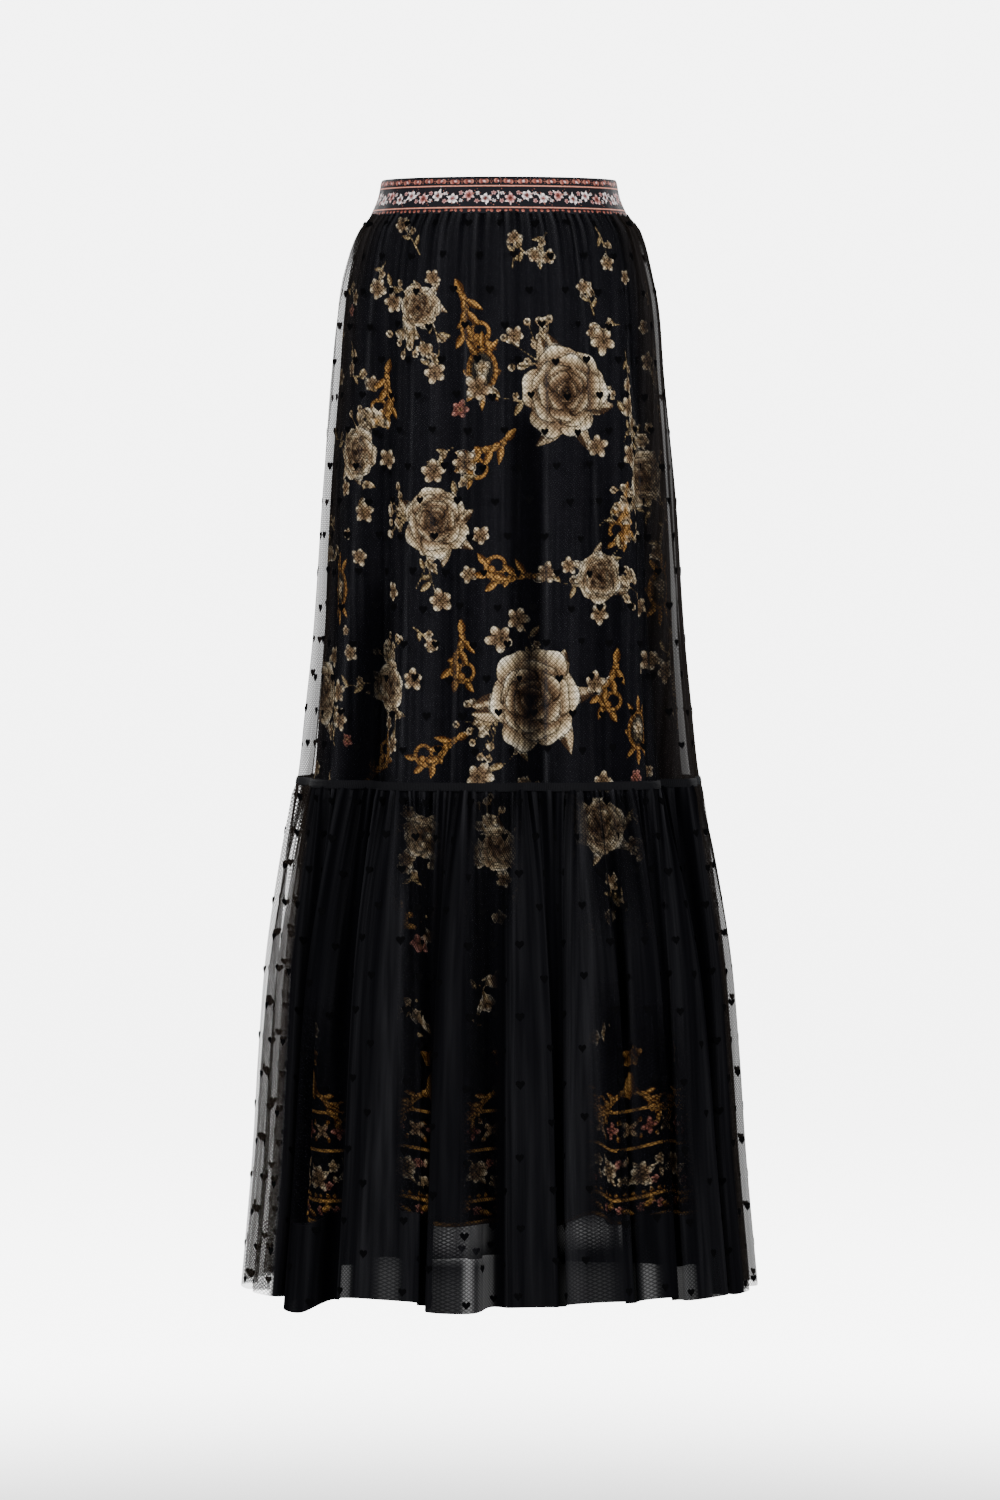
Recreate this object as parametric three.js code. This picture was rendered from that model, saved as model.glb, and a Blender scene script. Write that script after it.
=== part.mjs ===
// A long tiered skirt, filled out as if worn: a printed underskirt, a sheer net overskirt in two tiers
// with a narrow tape over the join, and a shaped waistband. Millimetres, +Z up, the front towards -Y,
// and the origin at the middle of the waist, half way up the waistband.
import * as THREE from "three";

// Driving dimensions
const BAND_HEIGHT = 35;
const BAND_WALL = 3;
const NET_WALL = 1;
const LINING_WALL = 1;
const TAPE_WALL = 2;
const TAPE_TOP = -553;
const TAPE_HEIGHT = 8;
const HEM_LEVEL = -1042;
const SEAM_GAP = 0.3;
const TAPE_STANDS_PROUD = 0.3;

// Gathers in each panel of net, and the columns of points all round the plainer pieces
const WAIST_GATHERS = 32;
const TIER_GATHERS = 44;
const LINING_COLUMNS = 80;
const BAND_COLUMNS = 56;

// How soft folds are shaped: how narrow a crest is beside its valleys, how much a flute's sides close in,
// and how soon the folds of the upper tier begin below the waistband
const CREST_SHARPNESS = 1.5;
const FLUTE_PINCH = 0.07;
const FOLD_ONSET = 0.8;

const BAND_TOP = BAND_HEIGHT / 2;
const BAND_BOTTOM = -BAND_HEIGHT / 2;
const TAPE_BOTTOM = TAPE_TOP - TAPE_HEIGHT;

// The outer form: how far the cloth reaches from the axis at the sides, in front and behind, at each level.
const FORM = [
  { z: 17.5, side: 113, front: 87, back: 91 },
  { z: 0, side: 116.5, front: 90, back: 95 },
  { z: -17.5, side: 124.5, front: 95, back: 101 },
  { z: -30, side: 134, front: 102, back: 109 },
  { z: -53, side: 143, front: 109, back: 118 },
  { z: -100, side: 154, front: 117, back: 130 },
  { z: -173, side: 161, front: 124, back: 138 },
  { z: -270, side: 170, front: 132, back: 143 },
  { z: -413, side: 180, front: 142, back: 150 },
  { z: -509, side: 190, front: 150, back: 157 },
  { z: -557, side: 196, front: 155, back: 162 },
  { z: -629, side: 211, front: 169, back: 175 },
  { z: -725, side: 226, front: 184, back: 190 },
  { z: -821, side: 234, front: 194, back: 200 },
  { z: -917, side: 240, front: 201, back: 206 },
  { z: HEM_LEVEL, side: 251, front: 212, back: 217 },
];

// Soft folds at the tape: the angle of each valley from centre front, how deep it lies inside the form,
// and how far inside the form the crest after it lies.
const TIER_FOLDS = [
  { at: -172, depth: 16, crest: 1 },
  { at: -148, depth: 8, crest: 3 },
  { at: -126, depth: 19, crest: 0 },
  { at: -102, depth: 9, crest: 1 },
  { at: -77, depth: 8, crest: 0 },
  { at: -44, depth: 24, crest: 1 },
  { at: -12, depth: 7, crest: 2 },
  { at: 8, depth: 17, crest: 0 },
  { at: 34, depth: 6, crest: 1 },
  { at: 60, depth: 22, crest: 0 },
  { at: 84, depth: 9, crest: 1 },
  { at: 107, depth: 15, crest: 0 },
  { at: 131, depth: 20, crest: 2 },
  { at: 152, depth: 9, crest: 1 },
];

// Flutes at the hem, in the same columns, with how much lower than the hem level each one hangs.
const HEM_FLUTES = [
  { at: -174, depth: 25, crest: 1, drop: 2 },
  { at: -158, depth: 21, crest: 4, drop: -3 },
  { at: -141, depth: 26, crest: 0, drop: 4 },
  { at: -125, depth: 22, crest: 2, drop: 0 },
  { at: -109, depth: 20, crest: 0, drop: 2 },
  { at: -91, depth: 17, crest: 1, drop: 0 },
  { at: -74, depth: 22, crest: 0, drop: 0 },
  { at: -57, depth: 27, crest: 0, drop: 12 },
  { at: -39, depth: 29, crest: 2, drop: -7 },
  { at: -17, depth: 24, crest: 0, drop: 4 },
  { at: -1, depth: 26, crest: 3, drop: -2 },
  { at: 14, depth: 20, crest: 1, drop: -5 },
  { at: 32, depth: 22, crest: 5, drop: -5 },
  { at: 45, depth: 18, crest: 1, drop: -1 },
  { at: 64, depth: 26, crest: 2, drop: 1 },
  { at: 80, depth: 18, crest: 0, drop: 0 },
  { at: 98, depth: 22, crest: 1, drop: 3 },
  { at: 114, depth: 25, crest: 0, drop: -2 },
  { at: 132, depth: 20, crest: 3, drop: 2 },
  { at: 148, depth: 26, crest: 0, drop: 4 },
  { at: 167, depth: 19, crest: 2, drop: -2 },
];

// Folds at the underskirt's own hem.
const LINING_FOLDS = [
  { at: -168, depth: 20, crest: 1, drop: 2 },
  { at: -134, depth: 24, crest: 3, drop: -3 },
  { at: -104, depth: 16, crest: 0, drop: 1 },
  { at: -72, depth: 18, crest: 0, drop: 3 },
  { at: -38, depth: 26, crest: 1, drop: 0 },
  { at: -14, depth: 20, crest: 2, drop: 2 },
  { at: 14, depth: 24, crest: 0, drop: -4 },
  { at: 34, depth: 14, crest: 1, drop: 3 },
  { at: 66, depth: 22, crest: 0, drop: 1 },
  { at: 100, depth: 18, crest: 2, drop: -2 },
  { at: 140, depth: 25, crest: 0, drop: 3 },
];

// The underskirt: how far its outer face lies inside the form, and how far its folds have changed from
// those of the upper tier to those of its hem.
const LINING_ROWS = [
  { z: BAND_BOTTOM - SEAM_GAP, inside: 3.3, hemShare: 0 },
  { z: -34, inside: 5, hemShare: 0 },
  { z: -60, inside: 6, hemShare: 0 },
  { z: -110, inside: 7, hemShare: 0 },
  { z: -200, inside: 8, hemShare: 0 },
  { z: -350, inside: 10, hemShare: 0 },
  { z: -557, inside: 17, hemShare: 0.1 },
  { z: -700, inside: 25, hemShare: 0.5 },
  { z: -840, inside: 32, hemShare: 0.85 },
  { z: -972, inside: 37, hemShare: 1 },
];

// The upper tier of net: how strong its gathers are at each level.
const UPPER_ROWS = [
  { z: BAND_BOTTOM - SEAM_GAP, gather: 0.9 },
  { z: -30, gather: 1.4 },
  { z: -55, gather: 1.5 },
  { z: -100, gather: 1.1 },
  { z: -180, gather: 0.5 },
  { z: -340, gather: 0 },
  { z: TAPE_TOP + SEAM_GAP, gather: 0 },
];

// The lower tier: its gathers, and how far its folds have changed from those at the tape to the flutes.
const LOWER_ROWS = [
  { z: TAPE_BOTTOM - SEAM_GAP, gather: 1.2, hemShare: 0 },
  { z: -574, gather: 2, hemShare: 0.06 },
  { z: -600, gather: 2, hemShare: 0.22 },
  { z: -645, gather: 1.2, hemShare: 0.45 },
  { z: -715, gather: 0.5, hemShare: 0.68 },
  { z: -810, gather: 0, hemShare: 0.85 },
  { z: -920, gather: 0, hemShare: 0.95 },
  { z: HEM_LEVEL, gather: 0, hemShare: 1 },
];

const BAND_ROWS = [{ z: BAND_TOP }, { z: 0 }, { z: BAND_BOTTOM }];
const TAPE_ROWS = [{ z: TAPE_TOP }, { z: TAPE_BOTTOM }];

const radians = THREE.MathUtils.degToRad;
const degrees = THREE.MathUtils.radToDeg;
const lerp = THREE.MathUtils.lerp;

// A column of the form at any level, on a smooth curve through the table's rows.
function formAt(z, column) {
  const last = FORM.length - 1;
  const found = FORM.findIndex((row) => z >= row.z);
  const k = THREE.MathUtils.clamp(found < 0 ? last : found, 1, last);
  const [a, b] = [FORM[k - 1], FORM[k]];
  const slope = (p, q) => (FORM[q][column] - FORM[p][column]) / (FORM[q].z - FORM[p].z);
  const t = (z - a.z) / (b.z - a.z);
  const span = b.z - a.z;
  const enter = slope(Math.max(k - 2, 0), k) * span;
  const leave = slope(k - 1, Math.min(k + 1, last)) * span;
  const [t2, t3] = [t * t, t * t * t];
  return (2 * t3 - 3 * t2 + 1) * a[column] + (t3 - 2 * t2 + t) * enter
    + (3 * t2 - 2 * t3) * b[column] + (t3 - t2) * leave;
}

// Where an angle lies among a table's folds: the valleys beside it, and the share of the way between them.
function foldAt(table, angle) {
  const turned = (((angle - table[0].at) % 360) + 360) % 360 + table[0].at;
  const k = table.findLastIndex((row) => turned >= row.at);
  const next = table[(k + 1) % table.length];
  const end = next.at > table[k].at ? next.at : next.at + 360;
  const width = end - table[k].at;
  return { valley: table[k], next, width, across: (turned - table[k].at) / width };
}

// How far inside the form the cloth lies at an angle: valleys are rounded, and crests a little fuller.
function foldDepth(table, angle) {
  const { valley, next, across } = foldAt(table, angle);
  const crest = Math.pow(Math.sin(Math.PI * across), CREST_SHARPNESS);
  return lerp(lerp(valley.depth, next.depth, across), valley.crest, crest);
}

function foldDrop(table, angle) {
  const { valley, across } = foldAt(table, angle);
  return valley.drop * Math.pow(Math.sin(Math.PI * across), 2);
}

// The angle moved a little from each crest towards its valleys, which makes the crests broader.
function pinched(table, angle, share) {
  const { width, across } = foldAt(table, angle);
  return angle - share * FLUTE_PINCH * width * Math.sin(2 * Math.PI * across);
}

// A point at an angle and level on the form, moved inside it.
function onForm(angle, z, inside) {
  const turn = radians(angle);
  const side = formAt(z, "side");
  const depth = formAt(z, Math.cos(turn) >= 0 ? "front" : "back");
  const out = new THREE.Vector3(Math.sin(turn) / side, -Math.cos(turn) / depth, 0).normalize();
  return new THREE.Vector3(side * Math.sin(turn), -depth * Math.cos(turn), z).addScaledVector(out, -inside);
}

// The share of the folds at the tape that has formed at a level of the upper tier and underskirt.
function tierShare(z) {
  const down = THREE.MathUtils.clamp((BAND_BOTTOM - z) / (BAND_BOTTOM - TAPE_TOP), 0, 1);
  return Math.pow(down, FOLD_ONSET);
}

const bandPoint = (angle, row) => onForm(angle, row.z, 0);

function tapePoint(angle, row) {
  return onForm(angle, row.z, foldDepth(TIER_FOLDS, angle) * tierShare(row.z) - TAPE_STANDS_PROUD);
}

function liningPoint(angle, row) {
  const upper = foldDepth(TIER_FOLDS, angle) * tierShare(row.z);
  const fold = lerp(upper, foldDepth(LINING_FOLDS, angle), row.hemShare);
  const drop = foldDrop(LINING_FOLDS, angle) * row.hemShare;
  return onForm(angle, row.z, row.inside + fold).add(new THREE.Vector3(0, 0, -drop));
}

// Gathers are a wave of one crest and one valley to each pair of columns.
const gatherDepth = (row, column) => (column % 2 ? 2 * row.gather : 0);

function upperPoint(angle, row, column) {
  return onForm(angle, row.z, foldDepth(TIER_FOLDS, angle) * tierShare(row.z) + gatherDepth(row, column));
}

function lowerPoint(angle, row, column) {
  const fold = lerp(foldDepth(TIER_FOLDS, angle), foldDepth(HEM_FLUTES, angle), row.hemShare);
  const drop = foldDrop(HEM_FLUTES, angle) * row.hemShare;
  const moved = pinched(HEM_FLUTES, angle, row.hemShare);
  return onForm(moved, row.z, fold + gatherDepth(row, column)).add(new THREE.Vector3(0, 0, -drop));
}

// The unit vectors that point out of the cloth at each point of a grid, but for its first and last columns,
// which only give the direction at the seams. They lie level along the top and bottom edges.
function outward(grid) {
  const last = grid.length - 1;
  return grid.map((line, r) => line.slice(1, -1).map((_, k) => {
    const above = grid[Math.max(r - 1, 0)][k + 1];
    const below = grid[Math.min(r + 1, last)][k + 1];
    const down = new THREE.Vector3().subVectors(below, above);
    const normal = new THREE.Vector3().subVectors(line[k + 2], line[k]).cross(down).negate();
    if (r === 0 || r === last) normal.setZ(0);
    return normal.normalize();
  }));
}

// A closed wall: the grid is its outer face, and its inner face lies one wall thickness inside.
function wall(grid, thickness) {
  const normals = outward(grid);
  const outer = grid.map((line) => line.slice(1, -1));
  const inwards = (p, normal) => p.clone().addScaledVector(normal, -thickness);
  const inner = outer.map((line, r) => line.map((p, c) => inwards(p, normals[r][c])));
  const [rows, columns] = [outer.length, outer[0].length];
  const positions = [...outer.flat(), ...inner.flat()].flatMap((p) => p.toArray());
  const outerAt = (r, c) => r * columns + c;
  const innerAt = (r, c) => rows * columns + r * columns + c;
  const faces = [];
  const quad = (a, b, c, d) => faces.push(a, b, c, a, c, d);
  for (let r = 0; r < rows - 1; r++) {
    for (let c = 0; c < columns - 1; c++) {
      quad(outerAt(r, c), outerAt(r + 1, c), outerAt(r + 1, c + 1), outerAt(r, c + 1));
      quad(innerAt(r, c), innerAt(r, c + 1), innerAt(r + 1, c + 1), innerAt(r + 1, c));
    }
    quad(outerAt(r, 0), innerAt(r, 0), innerAt(r + 1, 0), outerAt(r + 1, 0));
    const end = columns - 1;
    quad(outerAt(r, end), outerAt(r + 1, end), innerAt(r + 1, end), innerAt(r, end));
  }
  const foot = rows - 1;
  for (let c = 0; c < columns - 1; c++) {
    quad(outerAt(0, c), outerAt(0, c + 1), innerAt(0, c + 1), innerAt(0, c));
    quad(outerAt(foot, c), innerAt(foot, c), innerAt(foot, c + 1), outerAt(foot, c + 1));
  }
  const geometry = new THREE.BufferGeometry();
  geometry.setAttribute("position", new THREE.Float32BufferAttribute(positions, 3));
  geometry.setIndex(faces);
  geometry.computeVertexNormals();
  return geometry;
}

// One panel between two seams: each row of its table is a line of points, from one past the first seam to
// one past the last.
function panel(name, { from, to, columns, rows, point, thickness, material }) {
  const middle = Math.abs((from + to) / 2) < 90 ? "front" : "back";
  const grid = rows.map((row) => {
    const gap = degrees(SEAM_GAP / 2 / formAt(row.z, middle));
    const place = (c) => point(lerp(from + gap, to - gap, c / columns), row, c);
    return Array.from({ length: columns + 3 }, (_, k) => place(k - 1));
  });
  const mesh = new THREE.Mesh(wall(grid, thickness), material);
  mesh.name = name;
  return mesh;
}

function cloth(name, color, roughness) {
  return new THREE.MeshStandardMaterial({ name, color, roughness, metalness: 0 });
}

const bandCloth = cloth("printed band", 0x6b3c38, 0.7);
const liningCloth = cloth("printed underskirt", 0x2a2622, 0.55);
const netCloth = cloth("black net", 0x1c1d20, 0.85);
const tapeCloth = cloth("black tape", 0x17181b, 0.8);

const FRONT = { from: -90, to: 90 };
const BACK = { from: 90, to: 270 };

const skirt = new THREE.Group();
skirt.name = "tiered_skirt";

const bandPieces = [
  { name: "waistband_back_left", from: -180, to: -90 },
  { name: "waistband_front_left", from: -90, to: 0 },
  { name: "waistband_front_right", from: 0, to: 90 },
  { name: "waistband_back_right", from: 90, to: 180 },
];
for (const { name, from, to } of bandPieces) {
  const columns = BAND_COLUMNS / bandPieces.length;
  skirt.add(panel(name, {
    from, to, columns, rows: BAND_ROWS, point: bandPoint, thickness: BAND_WALL, material: bandCloth,
  }));
}

for (const [side, span] of Object.entries({ front: FRONT, back: BACK })) {
  skirt.add(panel(`underskirt_${side}`, {
    ...span, columns: LINING_COLUMNS / 2, rows: LINING_ROWS,
    point: liningPoint, thickness: LINING_WALL, material: liningCloth,
  }));
  skirt.add(panel(`upper_tier_${side}`, {
    ...span, columns: 2 * WAIST_GATHERS, rows: UPPER_ROWS,
    point: upperPoint, thickness: NET_WALL, material: netCloth,
  }));
  skirt.add(panel(`tier_tape_${side}`, {
    ...span, columns: TIER_GATHERS, rows: TAPE_ROWS,
    point: tapePoint, thickness: TAPE_WALL, material: tapeCloth,
  }));
  skirt.add(panel(`lower_tier_${side}`, {
    ...span, columns: 2 * TIER_GATHERS, rows: LOWER_ROWS,
    point: lowerPoint, thickness: NET_WALL, material: netCloth,
  }));
}

export default skirt;
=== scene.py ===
# A long tiered skirt filled out as if worn: a printed underskirt, a see-through net overskirt in two
# gathered tiers with a flat tape over the join, small flocked hearts on the net, and a printed waistband.
# Sizes are in millimetres until a mesh is made, which is in metres.
import math
import bpy
import numpy as np
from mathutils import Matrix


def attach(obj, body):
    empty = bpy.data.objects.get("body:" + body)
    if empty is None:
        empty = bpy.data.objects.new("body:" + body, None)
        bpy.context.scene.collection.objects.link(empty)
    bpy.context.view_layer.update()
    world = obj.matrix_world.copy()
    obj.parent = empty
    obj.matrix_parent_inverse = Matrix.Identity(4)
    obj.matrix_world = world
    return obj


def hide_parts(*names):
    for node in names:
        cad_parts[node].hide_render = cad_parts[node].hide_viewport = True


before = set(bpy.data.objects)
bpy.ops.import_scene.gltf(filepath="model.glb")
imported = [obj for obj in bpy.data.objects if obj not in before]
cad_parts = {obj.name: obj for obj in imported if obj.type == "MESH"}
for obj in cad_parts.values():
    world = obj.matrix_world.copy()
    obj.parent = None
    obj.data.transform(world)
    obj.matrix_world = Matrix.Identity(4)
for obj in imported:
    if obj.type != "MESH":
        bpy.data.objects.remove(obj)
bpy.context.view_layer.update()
MM = 0.001

# The view. The skirt was photographed from straight in front, from a little below the waist, with a long
# lens, against a plain pale ground in even light.
PHOTO_WIDTH, PHOTO_HEIGHT = 1000, 1500
MM_PER_PIXEL = 0.96
AXIS_COLUMN = 499
WAIST_ROW = 200
HORIZON_ROW = 490
CAMERA_AWAY = 6200
SENSOR = 36

camera_height = (WAIST_ROW - HORIZON_ROW) * MM_PER_PIXEL
centre_drop = (PHOTO_HEIGHT / 2 - HORIZON_ROW) * MM_PER_PIXEL
lens_data = bpy.data.cameras.new("camera")
lens_data.sensor_width = SENSOR
lens_data.lens = SENSOR * CAMERA_AWAY / (PHOTO_HEIGHT * MM_PER_PIXEL)
camera = bpy.data.objects.new("camera", lens_data)
camera_aside = (PHOTO_WIDTH / 2 - AXIS_COLUMN) * MM_PER_PIXEL
camera.location = (camera_aside * MM, -CAMERA_AWAY * MM, camera_height * MM)
camera.rotation_euler = (math.pi / 2 - math.atan(centre_drop / CAMERA_AWAY), 0, 0)
bpy.context.scene.collection.objects.link(camera)
bpy.context.scene.camera = camera


def linear(hex_colour):
    """An sRGB hex colour as linear red, green, blue and alpha."""
    parts = [int(hex_colour[k:k + 2], 16) / 255 for k in (1, 3, 5)]
    return [p / 12.92 if p <= 0.04045 else ((p + 0.055) / 1.055) ** 2.4 for p in parts] + [1.0]


def add(tree, kind, inputs=None, **settings):
    """Adds a node with its settings, and sets or links its inputs by name or number."""
    node = tree.nodes.new(kind)
    for key, value in settings.items():
        setattr(node, key, value)
    for key, value in (inputs or {}).items():
        if isinstance(value, bpy.types.NodeSocket):
            tree.links.new(value, node.inputs[key])
        else:
            node.inputs[key].default_value = value
    return node


# The studio: one sheet of matt card that is the floor and curves up behind, in a pale room. The camera sees
# both bright, as in the photo, but they shed little light. Four soft lamps light the skirt all round.
FLOOR_LEVEL = -1450
CARD_HALF_WIDTH, CARD_FRONT, CARD_BEND, CARD_BACK, CARD_TOP = 14000, -14000, 9500, 12000, 9000
CARD_GLOW_STARTS, CARD_GLOW_FULL = 0.9, 2.6
CARD_GLOW, NEAR_GLOW = 5.7, 0.15
CARD_SPILL, ROOM_SPILL = 0.08, 0.35
BEND_STEPS = 16


def new_material(name):
    """An empty node material and its tree."""
    material = bpy.data.materials.new(name)
    material.use_nodes = True
    material.node_tree.nodes.clear()
    return material, material.node_tree


def surface(tree, colour, roughness, gloss, more):
    """The shader that ends a material."""
    shader = add(tree, "ShaderNodeBsdfPrincipled", {
        "Base Color": colour, "Roughness": roughness, "Specular IOR Level": gloss, **more})
    add(tree, "ShaderNodeOutputMaterial", {"Surface": shader.outputs[0]})


def ranged(tree, value, start, end, low, high, way="LINEAR"):
    """A value that is moved from one range into another."""
    return add(tree, "ShaderNodeMapRange", {
        "Value": value, "From Min": start, "From Max": end, "To Min": low, "To Max": high},
        interpolation_type=way).outputs[0]


def product(tree, first, second):
    return add(tree, "ShaderNodeMath", {0: first, 1: second}, operation="MULTIPLY").outputs[0]


card_profile = [(CARD_FRONT, FLOOR_LEVEL)]
bend_radius = CARD_BACK - CARD_BEND
for step in range(BEND_STEPS + 1):
    turn = step / BEND_STEPS * math.pi / 2
    card_profile.append((CARD_BEND + bend_radius * math.sin(turn),
                         FLOOR_LEVEL + bend_radius * (1 - math.cos(turn))))
card_profile.append((CARD_BACK, CARD_TOP))
card_points = [(x * MM, y * MM, z * MM) for y, z in card_profile
               for x in (-CARD_HALF_WIDTH, CARD_HALF_WIDTH)]
card_faces = [(2 * k, 2 * k + 1, 2 * k + 3, 2 * k + 2) for k in range(len(card_profile) - 1)]
card_mesh = bpy.data.meshes.new("studio_card")
card_mesh.from_pydata(card_points, [], card_faces)
card_mesh.shade_smooth()
card = bpy.data.objects.new("studio_card", card_mesh)
bpy.context.scene.collection.objects.link(card)
card_paper, tree = new_material("matt_card")
on_card = add(tree, "ShaderNodeTexCoord")
away = add(tree, "ShaderNodeVectorMath", {0: on_card.outputs["Object"], 1: (1, 1, 0)}, operation="MULTIPLY")
distance = add(tree, "ShaderNodeVectorMath", {0: away.outputs[0]}, operation="LENGTH")
glow = ranged(tree, distance.outputs["Value"], CARD_GLOW_STARTS, CARD_GLOW_FULL, NEAR_GLOW, CARD_GLOW,
              "SMOOTHSTEP")
ray = add(tree, "ShaderNodeLightPath")
spill = ranged(tree, ray.outputs["Is Camera Ray"], 0, 1, CARD_SPILL, 1)
surface(tree, linear("#b4b4b4"), 0.95, 0.1, {
    "Emission Color": linear("#ffffff"), "Emission Strength": product(tree, glow, spill)})
card_mesh.materials.append(card_paper)

room = bpy.data.worlds.new("room")
bpy.context.scene.world = room
room.use_nodes = True
tree = room.node_tree
ray = add(tree, "ShaderNodeLightPath")
pale = ranged(tree, ray.outputs["Is Camera Ray"], 0, 1, ROOM_SPILL, CARD_GLOW)
tree.links.new(pale, tree.nodes["Background"].inputs["Strength"])
tree.nodes["Background"].inputs["Color"].default_value = linear("#f6f7f9")

for name, place, aim_level, size, watts in (
    ("key_panel", (-2.6, -3.4, 1.6), -0.5, 2.2, 430),
    ("fill_panel", (3.0, -3.0, 0.6), -0.6, 2.4, 340),
    ("back_left_panel", (-2.6, 3.4, 1.4), -0.5, 2.2, 340),
    ("back_right_panel", (2.8, 3.2, 0.8), -0.5, 2.2, 310),
):
    light = bpy.data.lights.new(name, "AREA")
    light.shape = "DISK"
    light.size = size
    light.energy = watts
    lamp = bpy.data.objects.new(name, light)
    lamp.location = place
    lamp.visible_camera = False
    reach = np.array((0, 0, aim_level)) - np.array(place)
    lamp.rotation_euler = (math.atan2(math.hypot(reach[0], reach[1]), -reach[2]),
                           0, math.atan2(-reach[0], reach[1]))
    bpy.context.scene.collection.objects.link(lamp)

# The underskirt: two flared panels of smooth black crepe, sewn at the sides and printed all over in creams,
# taupes and golds, with a border round the hem. It hangs from the waistband in soft folds.


def rows(names, values):
    """A table as rows that hold each value under its name."""
    return [dict(zip(names.split(), row)) for row in values]


# The form is the skirt's half widths at each level. Each fold starts at a valley, with its depth, how far in
# the crest after it lies, and how much lower the hem is there. Necks draw a flute together at its foot.
FORM = rows("z side front back", [
    (17.5, 113, 87, 91), (0, 116.5, 90, 95), (-17.5, 124.5, 95, 101), (-30, 134, 102, 109),
    (-53, 143, 109, 118), (-100, 154, 117, 130), (-173, 161, 124, 138), (-270, 170, 132, 143),
    (-413, 180, 142, 150), (-509, 190, 150, 157), (-557, 196, 155, 162), (-629, 211, 169, 175),
    (-725, 226, 184, 190), (-821, 234, 194, 200), (-917, 240, 201, 206), (-1042, 251, 212, 217),
])
TIER_FOLDS = rows("at depth crest", [
    (-172, 16, 1), (-148, 8, 3), (-126, 19, 0), (-102, 9, 1), (-77, 8, 0), (-44, 24, 1), (-12, 7, 2),
    (8, 17, 0), (34, 6, 1), (60, 22, 0), (84, 9, 1), (107, 15, 0), (131, 20, 2), (152, 9, 1),
])
LINING_FOLDS = rows("at depth crest drop", [
    (-168, 20, 1, 2), (-134, 24, 3, -3), (-104, 16, 0, 1), (-72, 18, 0, 3), (-38, 26, 1, -8),
    (-14, 20, 2, -7), (14, 24, 0, -13), (34, 14, 1, -8), (66, 22, 0, -4), (100, 18, 2, -2),
    (140, 25, 0, 3),
])
LINING_INSIDE = rows("z inside hem_share", [
    (-17.8, 3.3, 0), (-34, 5, 0), (-60, 6, 0), (-110, 7, 0), (-200, 8, 0), (-350, 10, 0),
    (-557, 17, 0.1), (-700, 25, 0.5), (-840, 32, 0.85), (-972, 37, 1),
])
VALLEY_SHARPNESS = 1.7
FOLD_ONSET = 0.8
SEAM_HALF_GAP = 0.002
SHARP_TURN = math.radians(60)
BAND_FOOT = -17.5
TAPE_TOP = -553
LINING_TOP, LINING_HEM = -14, -972
LINING_WALL = 0.8
SIDES = {"front": -90, "back": 90}


def column(table, key):
    """One value of every row."""
    return np.array([row[key] for row in table], float)


def form_at(z, key):
    """A column of the form at any levels, on a smooth curve through the table's rows."""
    levels, reach = column(FORM, "z"), column(FORM, key)
    slopes = np.gradient(reach, np.arange(len(levels))) / np.gradient(levels, np.arange(len(levels)))
    k = np.clip(np.searchsorted(-levels, -np.asarray(z, float), side="right"), 1, len(levels) - 1)
    span = levels[k] - levels[k - 1]
    t = (z - levels[k - 1]) / span
    return ((2 * t**3 - 3 * t**2 + 1) * reach[k - 1] + (t**3 - 2 * t**2 + t) * slopes[k - 1] * span
            + (3 * t**2 - 2 * t**3) * reach[k] + (t**3 - t**2) * slopes[k] * span)


def fold_at(table, angle):
    """The valley before each angle and the one after it, and the share of the way between them."""
    starts = column(table, "at")
    turned = (angle - starts[0]) % 360 + starts[0]
    k = np.searchsorted(starts, turned, side="right") - 1
    following = (k + 1) % len(table)
    width = (starts[following] - starts[k]) % 360
    return k, following, width, (turned - starts[k]) / width


def valley_share(table, angle):
    """One in each valley and zero on each crest, with broad crests and narrow round valleys."""
    return (0.5 + 0.5 * np.cos(2 * np.pi * fold_at(table, angle)[3])) ** VALLEY_SHARPNESS


def fold_depth(table, angle):
    """How far inside the form the cloth lies at each angle."""
    k, following, _, across = fold_at(table, angle)
    depth = column(table, "depth")
    valleys = depth[k] + (depth[following] - depth[k]) * across
    crests = column(table, "crest")[k]
    return crests + (valleys - crests) * valley_share(table, angle)


def fold_drop(table, angle):
    """How much lower the hem is on the crests."""
    k, _, _, across = fold_at(table, angle)
    return column(table, "drop")[k] * np.sin(np.pi * across) ** 2


def tier_share(z):
    """The share of the folds at the tape that has formed at each level."""
    return np.clip((BAND_FOOT - z) / (BAND_FOOT - TAPE_TOP), 0, 1) ** FOLD_ONSET


def on_form(angle, z, inside):
    """Points at angles and levels on the form, moved inside it."""
    turn = np.radians(angle)
    side = form_at(z, "side")
    depth = np.where(np.cos(turn) >= 0, form_at(z, "front"), form_at(z, "back"))
    out = np.stack([np.sin(turn) / side, -np.cos(turn) / depth], -1)
    out /= np.linalg.norm(out, axis=-1, keepdims=True)
    return np.stack([side * np.sin(turn) - inside * out[..., 0],
                     -depth * np.cos(turn) - inside * out[..., 1], z], -1)


def panel_angles(start, columns, z, bunch=0):
    """The angles of a panel's columns at its levels, from seam to seam, and closer in its middle."""
    gap = np.degrees(SEAM_HALF_GAP / form_at(z, "front" if start < 0 else "back"))
    across = np.linspace(-1, 1, columns + 1)
    share = 0.5 + 0.5 * across * (1 - bunch + bunch * across**2)
    return start + gap[:, None] + share[None, :] * (180 - 2 * gap[:, None])


def outward(points):
    """The unit vectors that point out of the cloth at each point of a grid."""
    across = np.gradient(points, axis=1)
    down = np.gradient(points, axis=0)
    out = np.cross(down, across)
    return out / np.maximum(np.linalg.norm(out, axis=-1, keepdims=True), 1e-9)


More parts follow.
